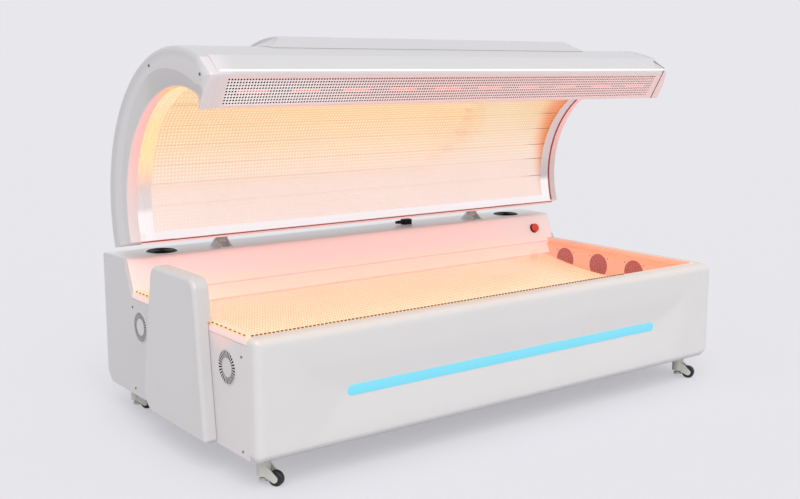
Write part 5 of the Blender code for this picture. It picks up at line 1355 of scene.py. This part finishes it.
def screw_heads(name, places, out, radius, body):
    """Domed heads with a socket, one at each place, with their axes along a direction."""
    profile = [(radius * reach, radius * height) for reach, height in SCREW_PROFILE]
    turn = out.to_track_quat("Z", "Y").to_matrix()
    bm = bmesh.new()
    for spot in places:
        rings = turned_rings(bm, spot, profile, SCREW_SIDES, turn)
        bm.faces.new(rings[0])
        loft(bm, rings)
        bm.faces.new(rings[-1][::-1])
    new_piece(name, solid_of(bm, name), body, "painted_steel", DARK_SCREW)
    print(name, len(places), "screws")


for end, out in (("head", HEADWARD), ("foot", ALONG)):
    for name, node, spots, radius in (("panel_screws_", end + "_end_panel", PANEL_SCREWS, PANEL_SCREW),
                                      ("cheek_screws_", "canopy_cheek_" + end, CHEEK_SCREWS, CHEEK_SCREW)):
        low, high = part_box(node)
        face = low.x if end == "head" else high.x
        screw_heads(name + end, [Vector((face, y, z)) for y, z in spots], out, radius, body_of(node))
vent_screws = []
for number in (1, 2, 3):
    low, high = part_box(f"foot_vent_{number}")
    reach = (high.z - low.z) / 2 + VENT_SCREW_GAP
    wall = Vector((high.x - VENT_PLUG, (low.y + high.y) / 2, (low.z + high.z) / 2))
    vent_screws += [on_circle(wall, reach, angle) for angle in VENT_SCREW_DEGREES]
screw_heads("vent_screws", vent_screws, HEADWARD, VENT_SCREW, "base")

# %% [markdown]
# ## Speaker covers
# The two black discs on the ridge are speakers under a ribbed cover. Each rib is a thin ring, so a cover is
# a row of rings of growing radius on the flat of the disc. A black rim slopes down to the ridge round it,
# and a thin bright bezel closes the rim.

# %% Ribs and rims of the speakers
RIB, RIB_MARGIN = 0.0012, 0.004
RIBS = 6
RIB_SIDES, RIM_SIDES = 40, 48
RIM_WIDTH, RIM_CROWN = 0.0085, 0.003
RIM_EDGE = 0.001
BEZEL_WIDTH = 0.0030
BEZEL_HEIGHT = 0.0012


def turned_piece(name, middle, profiles, sides, slot, finish, crease=None):
    """Rings turned about an upright axis, one for each closed profile of (radius, height)."""
    bm = bmesh.new()
    for profile in profiles:
        loft(bm, turned_rings(bm, middle, profile, sides), closed=True, smooth=crease is not None)
    new_piece(name, solid_of(bm, name, crease), "base", slot, finish)


for end in ("head", "foot"):
    low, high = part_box("speaker_" + end)
    middle = Vector(((low.x + high.x) / 2, (low.y + high.y) / 2, high.z))
    radius = (high.x - low.x) / 2
    tops = [(radius - RIB_MARGIN) * number / RIBS - RIB for number in range(1, RIBS + 1)]
    ribs = [[(top - RIB, 0), (top, RIB), (top + RIB, 0)] for top in tops]
    turned_piece("speaker_ribs_" + end, middle, ribs, RIB_SIDES, "black_plastic", BLACK)
    seat = Vector((middle.x, middle.y, RIDGE_TOP))
    lift = high.z - RIDGE_TOP
    edge = radius + RIM_WIDTH
    rim = [(radius, 0), (radius, lift), (radius + RIM_CROWN, lift + RIM_EDGE), (edge, RIM_EDGE), (edge, 0)]
    turned_piece("speaker_rim_" + end, seat, [rim], RIM_SIDES, "black_plastic", BLACK, crease=40)
    bezel = [(edge, 0), (edge, BEZEL_HEIGHT), (edge + BEZEL_WIDTH / 2, 1.5 * BEZEL_HEIGHT),
             (edge + BEZEL_WIDTH, BEZEL_HEIGHT), (edge + BEZEL_WIDTH, 0)]
    turned_piece("speaker_bezel_" + end, seat, [bezel], RIM_SIDES, "polished_aluminium", STEEL_PIN, crease=40)
print(2 * RIBS, "speaker ribs, with rims", round(lift, 4), "m high")

# %% [markdown]
# ## The stage
# A plain pale floor runs out of sight, and the world behind it has the floor's own brightness, so no
# horizon shows. A broad sun from the front left models the forms; the rest is even light. The sky's colour
# for the camera, for gloss and for glass is set apart from the light that it gives.

# %% Stage and light
BACKDROP = (0.806, 0.803, 0.841, 1)
SKY = 0.62
FLOOR_GLOW = 0.5
FLOOR_HALF = 60
SUN = 1.70
SUN_SPREAD = math.radians(50)
SUN_FROM = Vector((-0.33, -0.59, 0.737))

floor_mesh = bpy.data.meshes.new("floor")
floor_corners = [(x * FLOOR_HALF, y * FLOOR_HALF, 0) for x, y in ((-1, -1), (1, -1), (1, 1), (-1, 1))]
floor_mesh.from_pydata(floor_corners, [], [(0, 1, 2, 3)])
floor = bpy.data.objects.new("floor", floor_mesh)
bpy.context.scene.collection.objects.link(floor)
floor_paint, tree, shader = new_finish("floor_paint", Roughness=0.9, Specular_IOR_Level=0.1)
tone = use_group(tree, GRAIN, Light=(0.79, 0.783, 0.822, 1), Dark=(0.785, 0.778, 0.817, 1), Drift_Size=1.5,
                 Grain_Size=60.0)
join(tree, tone.outputs["Colour"], shader.inputs["Base Color"])
path = tree.nodes.new("ShaderNodeLightPath")
share = tree.nodes.new("ShaderNodeMath")
share.operation = "MULTIPLY"
share.inputs[1].default_value = FLOOR_GLOW
paper = add_node(tree, "Emission", Color=BACKDROP, Strength=1.0)
blend = tree.nodes.new("ShaderNodeMixShader")
join(tree, path.outputs["Is Camera Ray"], share.inputs[0])
join(tree, share.outputs["Value"], blend.inputs["Fac"])
join(tree, shader.outputs["BSDF"], blend.inputs[1])
join(tree, paper.outputs["Emission"], blend.inputs[2])
join(tree, blend.outputs["Shader"], tree.nodes["Material Output"].inputs["Surface"])
floor_mesh.materials.append(floor_paint)

world = bpy.data.worlds.new("studio")
bpy.context.scene.world = world
world.use_nodes = True
tree = world.node_tree
tree.nodes.clear()
path = tree.nodes.new("ShaderNodeLightPath")
seen = add_node(tree, "Background", Color=BACKDROP, Strength=1.0)
light = add_node(tree, "Background", Color=(1, 1, 1, 1), Strength=SKY)
viewed = path.outputs["Is Camera Ray"]
for kind in ("Is Glossy Ray", "Is Transmission Ray"):
    either = tree.nodes.new("ShaderNodeMath")
    either.operation = "MAXIMUM"
    join(tree, viewed, either.inputs[0])
    join(tree, path.outputs[kind], either.inputs[1])
    viewed = either.outputs["Value"]
choose = tree.nodes.new("ShaderNodeMixShader")
shown = tree.nodes.new("ShaderNodeOutputWorld")
join(tree, viewed, choose.inputs["Fac"])
join(tree, light.outputs["Background"], choose.inputs[1])
join(tree, seen.outputs["Background"], choose.inputs[2])
join(tree, choose.outputs["Shader"], shown.inputs["Surface"])

sun_data = bpy.data.lights.new("broad_sun", "SUN")
sun_data.energy = SUN
sun_data.angle = SUN_SPREAD
sun = bpy.data.objects.new("broad_sun", sun_data)
sun.rotation_euler = SUN_FROM.to_track_quat("Z", "Y").to_euler()
bpy.context.scene.collection.objects.link(sun)
bpy.context.scene.view_settings.view_transform = "Standard"
print("stage ready")
